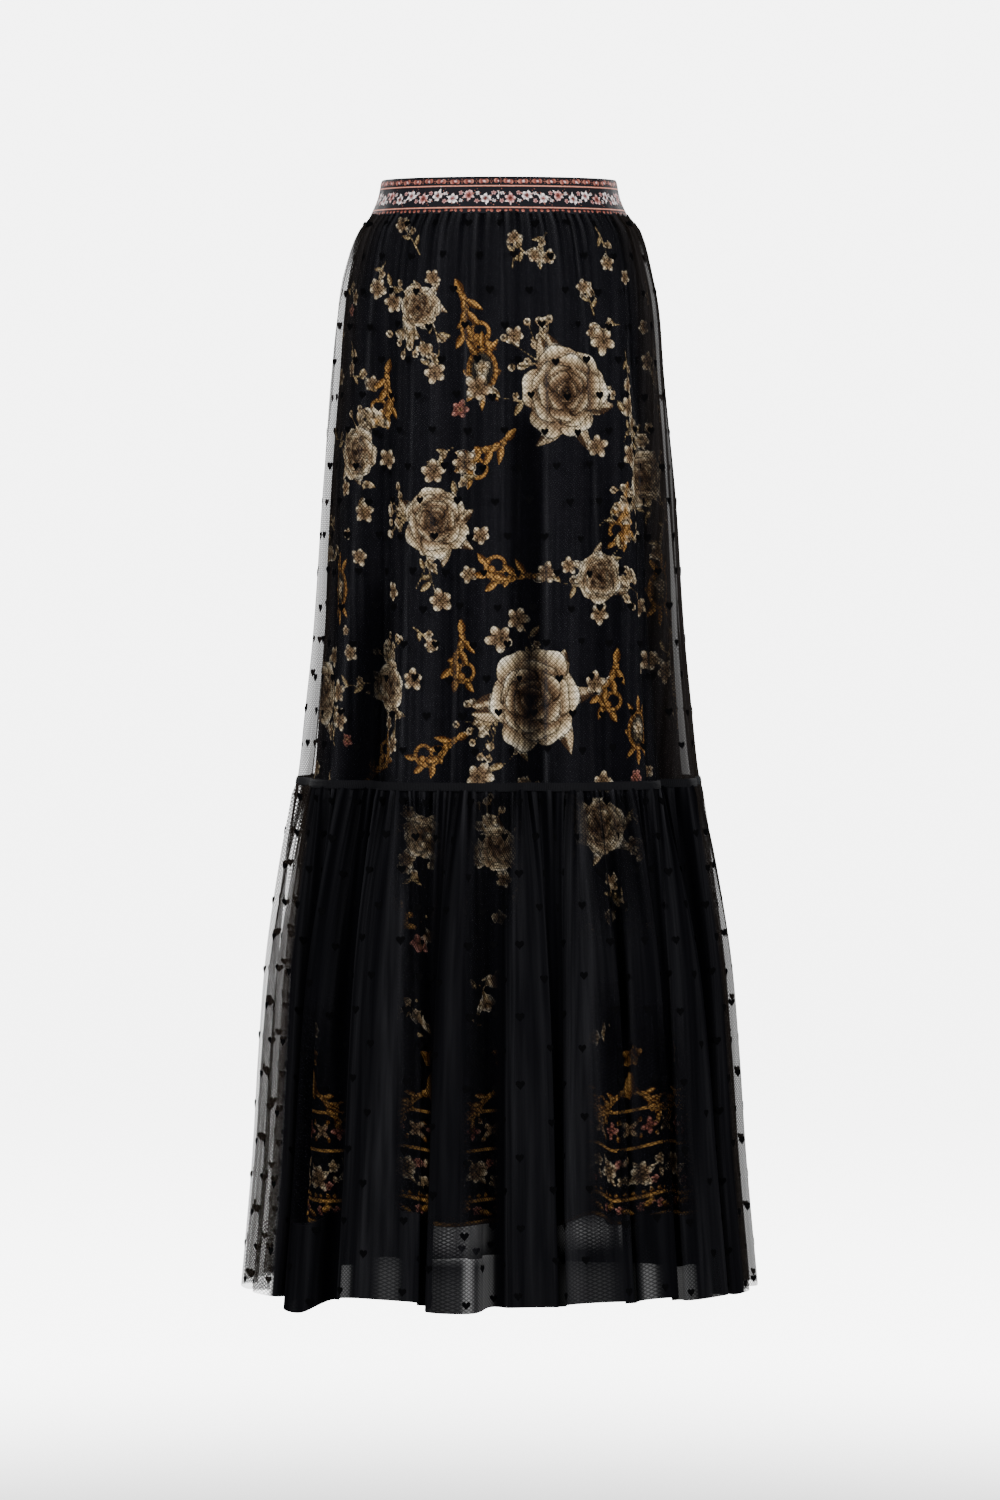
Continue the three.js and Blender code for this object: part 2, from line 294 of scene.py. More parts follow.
def mesh_piece(name, points, faces, material, corner_uv, values):
    """A piece from points in millimetres, with its cut coordinates as a UV map and values at its points."""
    mesh = bpy.data.meshes.new(name)
    mesh.from_pydata((points * MM).tolist(), [], faces)
    layer = mesh.uv_layers.new(name="cut")
    loops = np.zeros(len(mesh.loops), int)
    mesh.loops.foreach_get("vertex_index", loops)
    layer.data.foreach_set("uv", (corner_uv[loops] * MM).astype(np.float32).ravel())
    for key, value in values.items():
        if value.ndim == 2:
            data = mesh.attributes.new(key, "FLOAT_COLOR", "POINT").data
            rgba = np.concatenate([value, np.ones((len(value), 1))], 1)
            data.foreach_set("color", rgba.astype(np.float32).ravel())
        else:
            mesh.attributes.new(key, "FLOAT", "POINT").data.foreach_set("value", value.astype(np.float32))
    mesh.materials.append(material)
    mesh.shade_smooth()
    mesh.set_sharp_from_angle(angle=SHARP_TURN)
    piece = bpy.data.objects.new(name, mesh)
    bpy.context.scene.collection.objects.link(piece)
    return piece


def sheet_faces(rows, columns):
    """The quads of a grid of points that faces outwards."""
    r, c = np.meshgrid(np.arange(rows - 1), np.arange(columns - 1), indexing="ij")
    first = (r * columns + c).ravel()
    return np.stack([first, first + columns, first + columns + 1, first + 1], -1).tolist()


def closed_wall(name, points, wall, every, material, uv, values):
    """A closed wall: a fine outer face, and a plainer inner one with one row for every few of the outer."""
    rows, columns = points.shape[:2]
    kept = sorted(set(range(0, rows, every)) | {rows - 1})
    inner = (points - outward(points) * wall)[kept]
    faces = sheet_faces(rows, columns)
    base = rows * columns
    at = [base + k * columns for k in range(len(kept))]
    for k in range(len(kept) - 1):
        for c in range(columns - 1):
            faces.append((at[k] + c, at[k] + c + 1, at[k + 1] + c + 1, at[k + 1] + c))
        left = [r * columns for r in range(kept[k], kept[k + 1] + 1)]
        right = [r * columns + columns - 1 for r in range(kept[k], kept[k + 1] + 1)]
        faces.append([*reversed(left), at[k], at[k + 1]])
        faces.append([*right, at[k + 1] + columns - 1, at[k] + columns - 1])
    foot = (rows - 1) * columns
    for c in range(columns - 1):
        faces.append((c, c + 1, at[0] + c + 1, at[0] + c))
        faces.append((foot + c, at[-1] + c, at[-1] + c + 1, foot + c + 1))

    def both(value):
        flat = value.reshape((rows * columns,) + value.shape[2:])
        back = value[kept].reshape((-1,) + value.shape[2:])
        return np.concatenate([flat, back])

    doubled = {key: both(value) for key, value in values.items()}
    inside = np.concatenate([np.zeros(rows * columns), np.ones(len(kept) * columns)])
    return mesh_piece(name, np.concatenate([points.reshape(-1, 3), inner.reshape(-1, 3)]), faces, material,
                      both(uv), {**doubled, "inside": inside})


class Print:
    """Inks on a cloth. Each point has a colour, how far it lies under ink, its distance inside the edge of
    the uppermost shape, and a count that rises across that shape, from which the fine lines are drawn."""

    def __init__(self, u, v, cell):
        self.u, self.v = u.ravel(), v.ravel()
        self.shape, self.cell = u.shape, cell
        self.ink = np.zeros((self.u.size, 3))
        self.cover = np.zeros(self.u.size)
        self.rim = np.full(self.u.size, 9.0)
        self.vein = np.zeros(self.u.size)

    def near(self, u, v, reach):
        """The points within a square round a place, and their places seen from it."""
        reach = reach + self.cell
        found = np.nonzero((np.abs(self.u - u) < reach) & (np.abs(self.v - v) < reach))[0]
        return found, self.u[found] - u, self.v[found] - v

    def lay(self, found, distance, colour, vein=0):
        """Lays a colour where a distance to a shape's edge is below zero, and a little past bare edges."""
        cell = self.cell
        weight = np.clip(0.5 - distance / (0.7 * cell), 0, 1)
        bare = (distance < 1.4 * cell) & (self.cover[found] < 0.5)
        weight = np.where(bare, 1, weight)[:, None]
        self.ink[found] += (colour - self.ink[found]) * weight
        self.cover[found] = np.maximum(self.cover[found], np.clip(0.5 - distance / (2 * cell), 0, 1))
        marked = distance < 0.9 * cell
        self.rim[found[marked]] = np.clip(-distance[marked], -cell, 9)
        self.vein[found[marked]] = np.broadcast_to(vein, found.shape)[marked]

    def grids(self):
        return {"ink": self.ink.reshape(self.shape + (3,)), "cover": self.cover.reshape(self.shape),
                "rim": self.rim.reshape(self.shape), "vein": self.vein.reshape(self.shape)}


def blend_inks(inks, share):
    """Colours on a ramp of evenly spaced inks."""
    share = np.clip(share, 0, 1) * (len(inks) - 1)
    steps = np.arange(len(inks))
    return np.stack([np.interp(share, steps, [ink[k] for ink in inks]) for k in range(3)], -1)


def inks(*hexes):
    """The colours of a ramp."""
    return [linear(h)[:3] for h in hexes]


PETAL_INKS = inks("#1a110a", "#4a3624", "#846b50", "#d2bd98", "#fdf3dc")
BERRY_INKS = inks("#3a2b1c", "#98805f", "#e6d8ba")
LEAF_INKS = inks("#2b2014", "#6b5538", "#bfa87c")
GOLD_INKS = inks("#241407", "#69441e", "#b98c4e")
ROSE_INKS = inks("#2e1712", "#7d4a3f", "#c08d7e")
# A rose's rings from the outside in: how many petals, where they start, their length and width as shares of
# the rose, and the darkest and palest place on the ramp.
ROSE_RINGS = [
    (6, 0.42, 0.58, 0.86, 0.25, 0.98), (5, 0.28, 0.50, 0.84, 0.12, 0.92), (5, 0.17, 0.42, 0.66, 0.02, 0.84),
    (4, 0.07, 0.34, 0.54, 0.0, 0.72), (3, 0.00, 0.23, 0.36, 0.0, 0.6), (2, 0.00, 0.11, 0.18, 0.0, 0.4),
]


def off(u, v, reach, angle):
    """The place at a distance and an angle from another."""
    return u + reach * math.cos(angle), v + reach * math.sin(angle)


def paint_petals(cloth, u, v, count, start, long, wide, turn, ramp, chance, low=0.1, high=0.95, veins=0):
    """One ring of petals round a centre, dark at the root and pale at the tip, with a wavy edge."""
    found, x, y = cloth.near(u, v, start + 1.1 * long + 0.3 * wide)
    for k in range(count):
        angle = turn + (k + chance.uniform(-0.1, 0.1)) * 2 * math.pi / count
        length = long * chance.uniform(0.86, 1.12)
        along = x * math.cos(angle) + y * math.sin(angle) - start - length / 2
        aside = (-x * math.sin(angle) + y * math.cos(angle)) / (wide / 2)
        size = np.hypot(along / (length / 2), aside)
        wavy = 0.08 * np.sin(aside * 5 + chance.uniform(0, 6)) * (wide > 12)
        distance = (size - 1 + wavy) * min(length, wide) / 2
        shade = low + (high - low) * np.clip(along / length + 0.5, 0, 1) ** 1.7 + chance.uniform(-0.06, 0.06)
        cloth.lay(found, distance, blend_inks(ramp, shade), veins * aside)


def paint_leaf(cloth, u, v, long, wide, turn, ramp):
    """A pointed leaf, darker on one side of its midrib, with fine side veins."""
    found, x, y = cloth.near(u, v, long)
    along = (x * math.cos(turn) + y * math.sin(turn)) / long
    aside = -x * math.sin(turn) + y * math.cos(turn)
    bulge = wide / 2 * np.sin(np.pi * np.clip(along, 0, 1) ** 0.85)
    beyond = np.maximum(np.maximum(-along, along - 1), 0) * long
    distance = np.where(beyond > 0, np.hypot(beyond, aside), np.abs(aside) - bulge)
    shade = 0.5 + 0.3 * np.sign(aside) + 0.35 * np.exp(-(aside / 1.1) ** 2)
    cloth.lay(found, distance, blend_inks(ramp, shade), along * long * 1.8 - np.abs(aside) * 1.6)


def paint_line(cloth, places, width, ramp):
    """A drawn line through places, thinner towards its end."""
    places = np.asarray(places, float)
    middle, reach = places.mean(0), np.abs(places - places.mean(0)).max()
    found, x, y = cloth.near(middle[0], middle[1], reach)
    x, y = x + middle[0], y + middle[1]
    best = np.full(found.size, 1e9)
    for k in range(len(places) - 1):
        a, step = places[k], places[k + 1] - places[k]
        t = np.clip(((x - a[0]) * step[0] + (y - a[1]) * step[1]) / (step @ step), 0, 1)
        half = width / 2 * (1 - 0.6 * (k + t) / len(places))
        best = np.minimum(best, np.hypot(x - a[0] - t * step[0], y - a[1] - t * step[1]) - half)
    cloth.lay(found, best, blend_inks(ramp, 0.55 + 0.4 * np.clip(-best / (width / 2), -1, 1)))


def paint_rose(cloth, u, v, size, turn, chance):
    """A full rose: rings of broad petals from the outside in, browner towards the folded heart."""
    for count, start, long, wide, low, high in ROSE_RINGS:
        turn += 0.62
        paint_petals(cloth, u, v, count, start * size, long * size, wide * size, turn, PETAL_INKS, chance,
                     low, high, 0.4 * size)


def paint_blossom(cloth, u, v, size, turn, ramp, chance):
    """An open flower of five petals with a brown eye."""
    paint_petals(cloth, u, v, 5, 0.08 * size, 0.92 * size, 0.68 * size, turn, ramp, chance, 0.3, 1.0,
                 0.4 * size)
    paint_petals(cloth, u, v, 4, 0, 0.22 * size, 0.18 * size, turn, LEAF_INKS, chance, 0.2, 0.7)


def paint_berries(cloth, u, v, size, turn, chance):
    """A loose cluster of small round buds on fine stalks."""
    for k in range(14):
        angle = turn + chance.uniform(-1.0, 1.0)
        end = off(u, v, size * chance.uniform(0.3, 1.0), angle)
        paint_line(cloth, [(u, v), end], 1.5, LEAF_INKS)
        paint_petals(cloth, *end, 1, -3.9, 7.8, 7.2, angle, BERRY_INKS, chance, 0.4, 1.0)
        paint_petals(cloth, *end, 1, -1.2, 2.8, 2.6, angle, LEAF_INKS, chance, 0.0, 0.2)


def paint_scroll(cloth, u, v, size, turn, way):
    """A gold acanthus scroll: a stem that swings one way, then winds in the other, with lobed leaves."""
    steps = np.linspace(0, 1, 30)
    bends = np.where(steps < 0.25, -3.0, 4.5 + 15.0 * (steps - 0.25))
    heading = turn + way * np.cumsum(bends) / 30
    places = np.stack([u + np.cumsum(size * 0.078 * np.cos(heading)),
                       v + np.cumsum(size * 0.078 * np.sin(heading))], -1)
    paint_line(cloth, places, size * 0.15, GOLD_INKS)
    for k in range(16, 0, -3):
        side = -way if k > 7 else way
        for long, wide, lean in ((0.44, 0.17, 0.75), (0.22, 0.11, -0.5)):
            paint_leaf(cloth, *places[k], size * long * (1.1 - 0.6 * steps[k]), size * wide,
                       heading[k] + side * lean, GOLD_INKS)
    paint_leaf(cloth, *places[0], size * 0.4, size * 0.2, heading[0] + math.pi, GOLD_INKS)
    found, x, y = cloth.near(*places[-1], size * 0.14)
    apart = np.hypot(x, y)
    cloth.lay(found, apart - size * 0.085, blend_inks(GOLD_INKS, 0.9 - apart / (size * 0.2)))


def paint_frame(cloth, u, v, size, chance):
    """An upright oval frame, gold with leaves at its ends, round a small flower."""
    for turn in (1.57, 0.9, 2.24, -1.57, -0.9, -2.24):
        place = (u + 0.3 * size * math.cos(turn), v + 0.8 * size * math.sin(turn))
        paint_leaf(cloth, *place, 0.75 * size, 0.26 * size, turn, GOLD_INKS)
    for turn in (0, math.pi):
        paint_leaf(cloth, u + 0.5 * size * math.cos(turn), v - 0.2 * size, 0.34 * size, 0.2 * size,
                   turn + 0.8 * math.cos(turn), GOLD_INKS)
    found, x, y = cloth.near(u, v, size)
    round_frame = (np.hypot(x / 0.62, y / 0.86) - size) * 0.62
    cloth.lay(found, round_frame, blend_inks(GOLD_INKS, 0.55 + 0.3 * np.cos(np.arctan2(y, x) * 16)))
    inner = (np.hypot(x / 0.44, y / 0.68) - size) * 0.5
    cloth.lay(found, inner, blend_inks(inks("#100e0c", "#2a261f"), 0.5 + y / size))
    paint_petals(cloth, u, v + 0.12 * size, 5, 0.02 * size, 0.26 * size, 0.2 * size, 0.4, BERRY_INKS,
                 chance, 0.4)
    for long, wide, turn in ((0.4, 0.16, -1.2), (0.34, 0.14, -2.2)):
        paint_leaf(cloth, u, v - 0.1 * size, long * size, wide * size, turn, LEAF_INKS)


def paint_spray(cloth, u, v, size, turn, chance):
    """A stem with a few leaves and small blossoms at its end."""
    steps = np.linspace(0, 1, 9)
    bend = chance.uniform(-0.8, 0.8)
    angle = turn + bend * steps
    places = np.stack([u + size * steps * np.cos(angle), v + size * steps * np.sin(angle)], -1)
    paint_line(cloth, places, 2.0, LEAF_INKS)
    for k in (2, 4, 6):
        side = (-1) ** (k // 2)
        paint_leaf(cloth, *places[k], 9 + 0.1 * size, 3.6 + 0.04 * size, angle[k] + side * 0.8, LEAF_INKS)
    paint_blossom(cloth, *places[-1], 0.1 * size + 5, turn, PETAL_INKS, chance)
    paint_petals(cloth, *(places[5] + 4), 5, 0.4, 3.6, 3, turn, BERRY_INKS, chance)


def paint_bouquet(cloth, u, v, size, turn, chance):
    """A rose on leaves and sprays, with a few blossoms and a cluster of buds beside it."""
    paint_spray(cloth, u, v, size + 42, turn + 2.2, chance)
    paint_spray(cloth, u, v, size + 30, turn - 1.4, chance)
    paint_berries(cloth, *off(u, v, 0.8 * size, turn + 0.9), 0.6 * size + 20, turn + 0.9, chance)
    for side, lean, long in ((0.2, 0.9, 0.95), (0.5, 0.3, 0.75), (0.9, -0.5, 0.8), (3.2, -0.9, 0.9),
                             (3.6, 0.2, 0.8), (4.1, 0.8, 0.7)):
        angle = turn + side + chance.uniform(-0.15, 0.15)
        paint_leaf(cloth, *off(u, v, 0.62 * size, angle), long * size, 0.32 * size, angle + lean,
                   PETAL_INKS[:4])
    for side, part in ((-0.5, 8), (3.9, 6)):
        paint_blossom(cloth, *off(u, v, 1.4 * size, turn + side), part + 0.12 * size, turn + side,
                      PETAL_INKS, chance)
    paint_rose(cloth, u, v, size, turn, chance)


# Where the motifs lie on each panel: across from its centre line, up from the hem, their size, the turn in
# degrees, and which way a scroll winds.
BOUQUETS = [
    (66, 786, 44, 80), (-78, 866, 22, 200), (-62, 664, 33, 120), (104, 612, 25, 300),
    (-118, 508, 25, 40), (36, 496, 48, 150), (-156, 728, 26, 20), (168, 704, 26, 170),
    (-74, 366, 20, 260), (-2, 356, 22, 60), (106, 376, 30, 110), (-190, 310, 28, 10),
    (204, 300, 30, 40), (-238, 500, 32, 80), (250, 530, 32, 220), (-236, 800, 26, 140),
    (238, 830, 28, 330),
]
SCROLLS = [
    (-36, 880, 46, 300, 1), (-118, 806, 40, 250, -1), (8, 742, 44, 230, 1), (132, 690, 40, 250, -1),
    (36, 612, 44, 160, -1), (-36, 560, 42, 280, 1), (124, 532, 42, 270, 1), (-40, 460, 40, 200, -1),
    (-150, 420, 38, 60, 1), (-120, 262, 36, 60, 1), (60, 268, 36, 120, -1),
]
FRAMES = [
    (-16, 806, 25), (150, 466, 22), (-184, 600, 24), (196, 600, 24), (22, 246, 22),
]
SPRIG_SPACING = 42
SPRIGS_FROM, SPRIGS_TO = 190, 930
BORDER_TOP = 112


def paint_stripe(cloth, low, high, ramp, shade):
    """A straight line all along the cloth."""
    every = np.arange(cloth.u.size)
    distance = np.abs(cloth.v - (low + high) / 2) - (high - low) / 2
    cloth.lay(every, distance, blend_inks(ramp, shade + 0 * cloth.v))


def paint_border(cloth, half_width, chance):
    """The hem border: gold lines, one with teeth, bands of leaves and flowers, and scrolls above."""
    for low, high in ((0, 4.6), (21, 25), (68.5, 72), (104.5, 108)):
        paint_stripe(cloth, low, high, GOLD_INKS, 0.88 + 0.1 * np.cos(cloth.u * 2 * math.pi / 11))
    for place in np.arange(-half_width, half_width, 9.0):
        paint_petals(cloth, place, 25, 1, 0, 5, 5, math.pi / 2, GOLD_INKS, chance, 0.5)
    for k, place in enumerate(np.arange(-half_width, half_width, 21.0)):
        paint_leaf(cloth, place - 9, 13, 16, 7, 0.35 * (-1) ** k, GOLD_INKS)
        paint_petals(cloth, place + 11, 13.5, 5, 0.5, 4.6, 3.8, 0.3, ROSE_INKS, chance, 0.4)
    for k, place in enumerate(np.arange(-half_width, half_width, 38.0)):
        lean = (-1) ** k
        for turn in (0.4, 2.2, 3.6, 5.4):
            paint_leaf(cloth, place, 47 + 3 * lean, 17, 7, turn, PETAL_INKS[1:4])
        paint_blossom(cloth, place, 47 + 3 * lean, 12, lean, PETAL_INKS, chance)
        paint_petals(cloth, place + 19, 47 - 8 * lean, 5, 0.6, 6.4, 4.6, lean, BERRY_INKS, chance, 0.3)
        paint_leaf(cloth, place + 19, 50 + 2 * lean, 13, 5.4, 1.2 * lean, PETAL_INKS[1:4])
        paint_petals(cloth, place + 14, 47 + 10 * lean, 5, 0, 4.6, 3.8, lean, ROSE_INKS, chance, 0.4)
    for k, place in enumerate(np.arange(-half_width, half_width, 20.0)):
        paint_petals(cloth, place, 88.5, 4, 0.5, 9.4, 5.6, 0 if k % 2 else math.pi / 4,
                     ROSE_INKS if k % 2 else PETAL_INKS[1:4], chance, 0.3)
        for v, turn in ((77, math.pi / 2), (100, -math.pi / 2)):
            paint_petals(cloth, place + 10, v, 1, 0, 7, 4.6, turn, GOLD_INKS, chance, 0.3)
    for place in np.arange(-half_width + 34, half_width, 74.0):
        for way in (-1, 1):
            paint_scroll(cloth, place + way * 9, 122, 34, math.pi / 2 - way * 1.9, way)
        paint_leaf(cloth, place, 116, 30, 11, math.pi / 2, GOLD_INKS)
        for turn in (0.2, 1.57, 2.9):
            paint_leaf(cloth, place, 158, 13, 6, turn, GOLD_INKS)
        paint_blossom(cloth, place, 158, 10, 0.3, GOLD_INKS, chance)


def paint_underskirt(cloth, half_width, mirror, seed):
    """The whole print of one panel."""
    chance = np.random.default_rng(seed)
    taken = [(mirror * row[0], row[1], row[2] * 2.3) for row in BOUQUETS]
    taken += [(mirror * row[0], row[1], row[2] * 1.2) for row in SCROLLS + FRAMES]
    for v in np.arange(SPRIGS_FROM, SPRIGS_TO, SPRIG_SPACING * 0.8):
        for u in np.arange(-half_width, half_width, SPRIG_SPACING):
            pu, pv = u + chance.uniform(-14, 14), v + chance.uniform(-14, 14)
            if all(math.hypot(pu - a, pv - b) > 0.6 * c + 12 for a, b, c in taken):
                kind = chance.uniform()
                if kind < 0.4:
                    paint_spray(cloth, pu, pv, chance.uniform(22, 38), chance.uniform(0, 6.28), chance)
                elif kind < 0.62:
                    paint_blossom(cloth, pu, pv, chance.uniform(5, 11), chance.uniform(0, 6.28),
                                  PETAL_INKS if chance.uniform() < 0.75 else ROSE_INKS, chance)
    for u, v, size, turn, way in SCROLLS:
        paint_scroll(cloth, mirror * u, v, size, math.radians(turn), mirror * way)
    for u, v, size in FRAMES:
        paint_frame(cloth, mirror * u, v, size, chance)
    for u, v, size, turn in BOUQUETS:
        paint_bouquet(cloth, mirror * u, v, size, math.radians(turn), chance)
    border = cloth.v < BORDER_TOP
    cloth.ink[border], cloth.cover[border], cloth.rim[border] = 0, 0, 9
    paint_border(cloth, half_width, chance)


# Printed crepe: a smooth, slightly grainy weave. The ink's edge lies where the cover value passes one half.
# Each shape has a thin dark outline and fine drawn veins, and the thread grain of 0.5 mm is drawn at 1.2 mm.
CREPE_GRAIN = 0.0012
WEAR_SCALE = 420.0


def mixed(tree, factor, first, second):
    return add(tree, "ShaderNodeMix", {"Factor": factor, "A": first, "B": second},
               data_type="RGBA").outputs["Result"]


def stored(tree, *names):
    """The values that the mesh holds under these names, as attribute nodes."""
    return [add(tree, "ShaderNodeAttribute", attribute_name=name) for name in names]


def printed_cloth(name, ground, reverse, roughness, gloss, outline):
    """A cloth with its inks on one side."""
    material, tree = new_material(name)
    ink, cover, rim, vein, inside = stored(tree, "ink", "cover", "rim", "vein", "inside")
    cut = add(tree, "ShaderNodeUVMap", uv_map="cut").outputs[0]
    edge = ranged(tree, cover.outputs["Fac"], 0.46, 0.54, 0, 1, "SMOOTHSTEP")
    from_rim = add(tree, "ShaderNodeMath", {0: rim.outputs["Fac"]}, operation="ABSOLUTE")
    outlined = ranged(tree, from_rim.outputs[0], 0.1 * outline, outline, 0.16, 1)
    wave = add(tree, "ShaderNodeMath", {0: vein.outputs["Fac"]}, operation="SINE")
    veined = ranged(tree, wave.outputs[0], 0.1, 1, 1, 0.5)
    worn = add(tree, "ShaderNodeTexNoise", {"Vector": cut, "Scale": WEAR_SCALE, "Detail": 3.0})
    tone = ranged(tree, worn.outputs["Fac"], 0.3, 0.7, 0.66, 1.12)
    drawn = product(tree, product(tree, outlined, veined), tone)
    printed = add(tree, "ShaderNodeVectorMath", {0: ink.outputs["Color"], 1: drawn}, operation="MULTIPLY")
    face = mixed(tree, edge, linear(ground), printed.outputs[0])
    grain = add(tree, "ShaderNodeTexNoise", {"Vector": cut, "Scale": 1 / CREPE_GRAIN, "Detail": 2.0})
    bump = add(tree, "ShaderNodeBump", {
        "Height": grain.outputs["Fac"], "Strength": 0.25, "Distance": 0.0004})
    surface(tree, mixed(tree, inside.outputs["Fac"], face, linear(reverse)), roughness, gloss,
            {"Normal": bump.outputs[0]})
    return material


crepe = printed_cloth("printed_crepe", "#0c0c0f", "#0d0d0f", 0.7, 0.0, 1.0)
LINING_COLUMNS = {"front": 226, "back": 180}
LINING_CELL = {"front": 2.2, "back": 3.3}
LINING_BUNCH = 0.27
INNER_EVERY = 10
# Stretches of the underskirt from the waist to the hem, and how far apart their rows are, in cells.
LINING_STRETCHES = (
    (LINING_TOP, -545, 1.0), (-545, -665, 1.25), (-665, -848, 2.4), (-848, LINING_HEM, 0.95))


def lining_levels(cell):
    """Levels from the waist to the hem, closer together over the border and where the net is clear."""
    levels = [np.linspace(top, foot, int((top - foot) / (cell * part)), endpoint=False)
              for top, foot, part in LINING_STRETCHES]
    return np.concatenate([*levels, [LINING_HEM]])


def lining_row(z, key):
    """A column of the underskirt's table at any levels."""
    return np.interp(-z, -column(LINING_INSIDE, "z"), column(LINING_INSIDE, key))


def lining_inside(angle, z):
    """How far inside the form the underskirt lies."""
    upper = fold_depth(TIER_FOLDS, angle) * tier_share(z)
    fold = upper + (fold_depth(LINING_FOLDS, angle) - upper) * lining_row(z, "hem_share")
    return lining_row(z, "inside") + fold


def lining_points(angle, z):
    """The underskirt's face at angles and levels."""
    points = on_form(angle, z, lining_inside(angle, z))
    points[..., 2] -= fold_drop(LINING_FOLDS, angle) * lining_row(z, "hem_share")
    return points


def panel_grid(start, columns, levels, bunch=0):
    """A panel's angles and levels at every point of its grid."""
    angle = panel_angles(start, columns, levels, bunch)
    return angle, np.broadcast_to(levels[:, None], angle.shape)


def lengths_across(points):
    """Each point's distance along its row from the row's middle."""
    steps = np.linalg.norm(np.diff(points, axis=1), axis=-1)
    along = np.concatenate([np.zeros((len(points), 1)), np.cumsum(steps, axis=1)], 1)
    return along - along[:, [along.shape[1] // 2]]


for seed, (side, start) in enumerate(SIDES.items()):
    levels = lining_levels(LINING_CELL[side])
    angle, z = panel_grid(start, LINING_COLUMNS[side], levels, LINING_BUNCH)
    points = lining_points(angle, z)
    u, v = lengths_across(points), z - LINING_HEM
    cloth = Print(u, v, LINING_CELL[side])
    paint_underskirt(cloth, u.max(), 1 if side == "front" else -1, 11 + seed)
    piece = closed_wall(f"underskirt_{side}_cloth", points, LINING_WALL, INNER_EVERY, crepe,
                        np.stack([u, v], -1), cloth.grids())
    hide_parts(f"underskirt_{side}")
    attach(piece, "root")

# The upper net tier: two panels of soft black tulle, gathered to the waistband and hung over the underskirt.
# The gathers are small pleats at the band that run out into a few soft folds above the tape.
UPPER_TOP, UPPER_FOOT = -15, -555
UPPER_CUT = dict(top=460, foot=640)
UPPER_COLUMNS, UPPER_ROWS = 300, 120
UPPER_SIDES_FROM = 62
LEFT_PLIES, RIGHT_PLIES = 0.46, 0.76
SEAM_RADIUS = 150
TAPE_HOLDS = 60
# Gathers: the length of one, how far it stands out, and how far down it runs.
UPPER_GATHERS = [
    (8.5, 1.0, 45), (15, 1.3, 90), (27, 1.4, 240), (52, 1.3, 900),
]
# Creases and overlaps of the net: the angle at the top and foot, the width in degrees, the levels, how much
# denser it is there, and how much lighter or darker its colour is painted there. Rows painted lighter are
# light caught on crease edges; rows painted darker are shade in recesses, where the added density also
# darkens the print, partly as painted shade.
CREASES = [
    (-11.5, -12, 0.5, -110, -250, 0.6, 0.3), (-13, -13.5, 0.5, -430, -550, 0.65, 0.3),
    (1, 1, 0.4, -40, -552, 0.35, 0.3), (10, 9.5, 3.4, -230, -552, 0.68, -0.5),
    (17.5, 13.5, 0.5, -150, -552, 0.5, 0.75), (-31, -29, 0.7, -190, -552, 0.4, 0.45),
    (-44, -46, 5.0, -400, -552, 0.7, -0.5), (-52, -55, 1.0, -60, -552, 0.35, 0.4),
    (-22, -22, 2.2, -60, -552, 0.06, 0.22), (31, 35, 0.6, -40, -330, 0.35, 0.4),
    (38, 40, 2.6, -300, -552, 0.25, -0.3), (50, 58, 0.9, -160, -552, 0.4, 0.5),
    (118, 122, 0.9, -120, -552, 0.4, 0.4), (146, 145, 3.2, -200, -552, 0.35, -0.3),
    (160, 157, 0.6, -200, -552, 0.5, 0.5), (195, 193, 0.6, -90, -480, 0.45, 0.5),
    (206, 208, 3.0, -260, -552, 0.35, -0.3), (232, 236, 0.8, -160, -552, 0.4, 0.4),
]


def gather_waves(u, below, waves, seed):
    """How far the gathers stand in or out at places across the cut, at depths below their seam."""
    chance = np.random.default_rng(seed)
    total = np.zeros_like(u)
    for length, height, reach in waves:
        drift = sum(chance.uniform(0.15, 0.3) * length * np.sin(u / (length * k) + chance.uniform(0, 6))
                    for k in (1.7, 2.9, 5.3))
        lean = chance.uniform(-0.02, 0.02) * below * np.sin(u / (length * 4))
        total += height * np.exp(-below / reach) * np.sin(2 * np.pi * (u + drift + lean) / length)
    return total


def off_seams(angle, start):
    """One over a panel, falling to zero at its two seams."""
    return np.clip((1 - np.abs(2 * (angle - start) / 180 - 1)) * 25, 0, 1)


def streaks(u, below, lengths, seed):
    """Fine upright streaks from 0 to 1, where pleats of the net lie over each other."""
    chance = np.random.default_rng(seed)
    total = np.zeros_like(u)
    for length in lengths:
        wander = length * 0.6 * np.sin(u / (length * 2.3) + chance.uniform(0, 6))
        sway = length * 0.35 * np.sin(below / chance.uniform(150, 320) + chance.uniform(0, 6))
        total += np.sin(2 * np.pi * (u + wander + sway) / length + chance.uniform(0, 6))
    return np.clip(0.5 + total / (1.4 * len(lengths)), 0, 1)


def between(z, top, foot, soft=40, foot_soft=40):
    """One between two levels, and falling to zero over a soft stretch past each."""
    return np.clip((top - z) / soft + 1, 0, 1) * np.clip((z - foot) / foot_soft + 1, 0, 1)


def beside(angle, starts, soft):
    """One at the skirt's sides, beyond an angle from its centre front and back, and zero at the centres."""
    from_side = 90 - np.abs(np.abs((angle + 180) % 360 - 180) - 90)
    return np.clip((from_side - starts) / soft + 0.5, 0, 1)


# Tulle: knitted nylon net with six-sided holes of 1.2 mm, drawn at twice that so that it shows. The
# threads are matt black, and one layer lets through most of the light. It is denser where pleats lie over
# each other. Its colour is painted lighter on its crests and darker in its hollows, as light and shade, and
# painted warmer at the sides, as light from behind.
NET_PITCH = 0.0026
FINE_PLEAT = 0.003
THIN_NET_CLEAR = 0.85
WAVE_UNIT = 0.31416


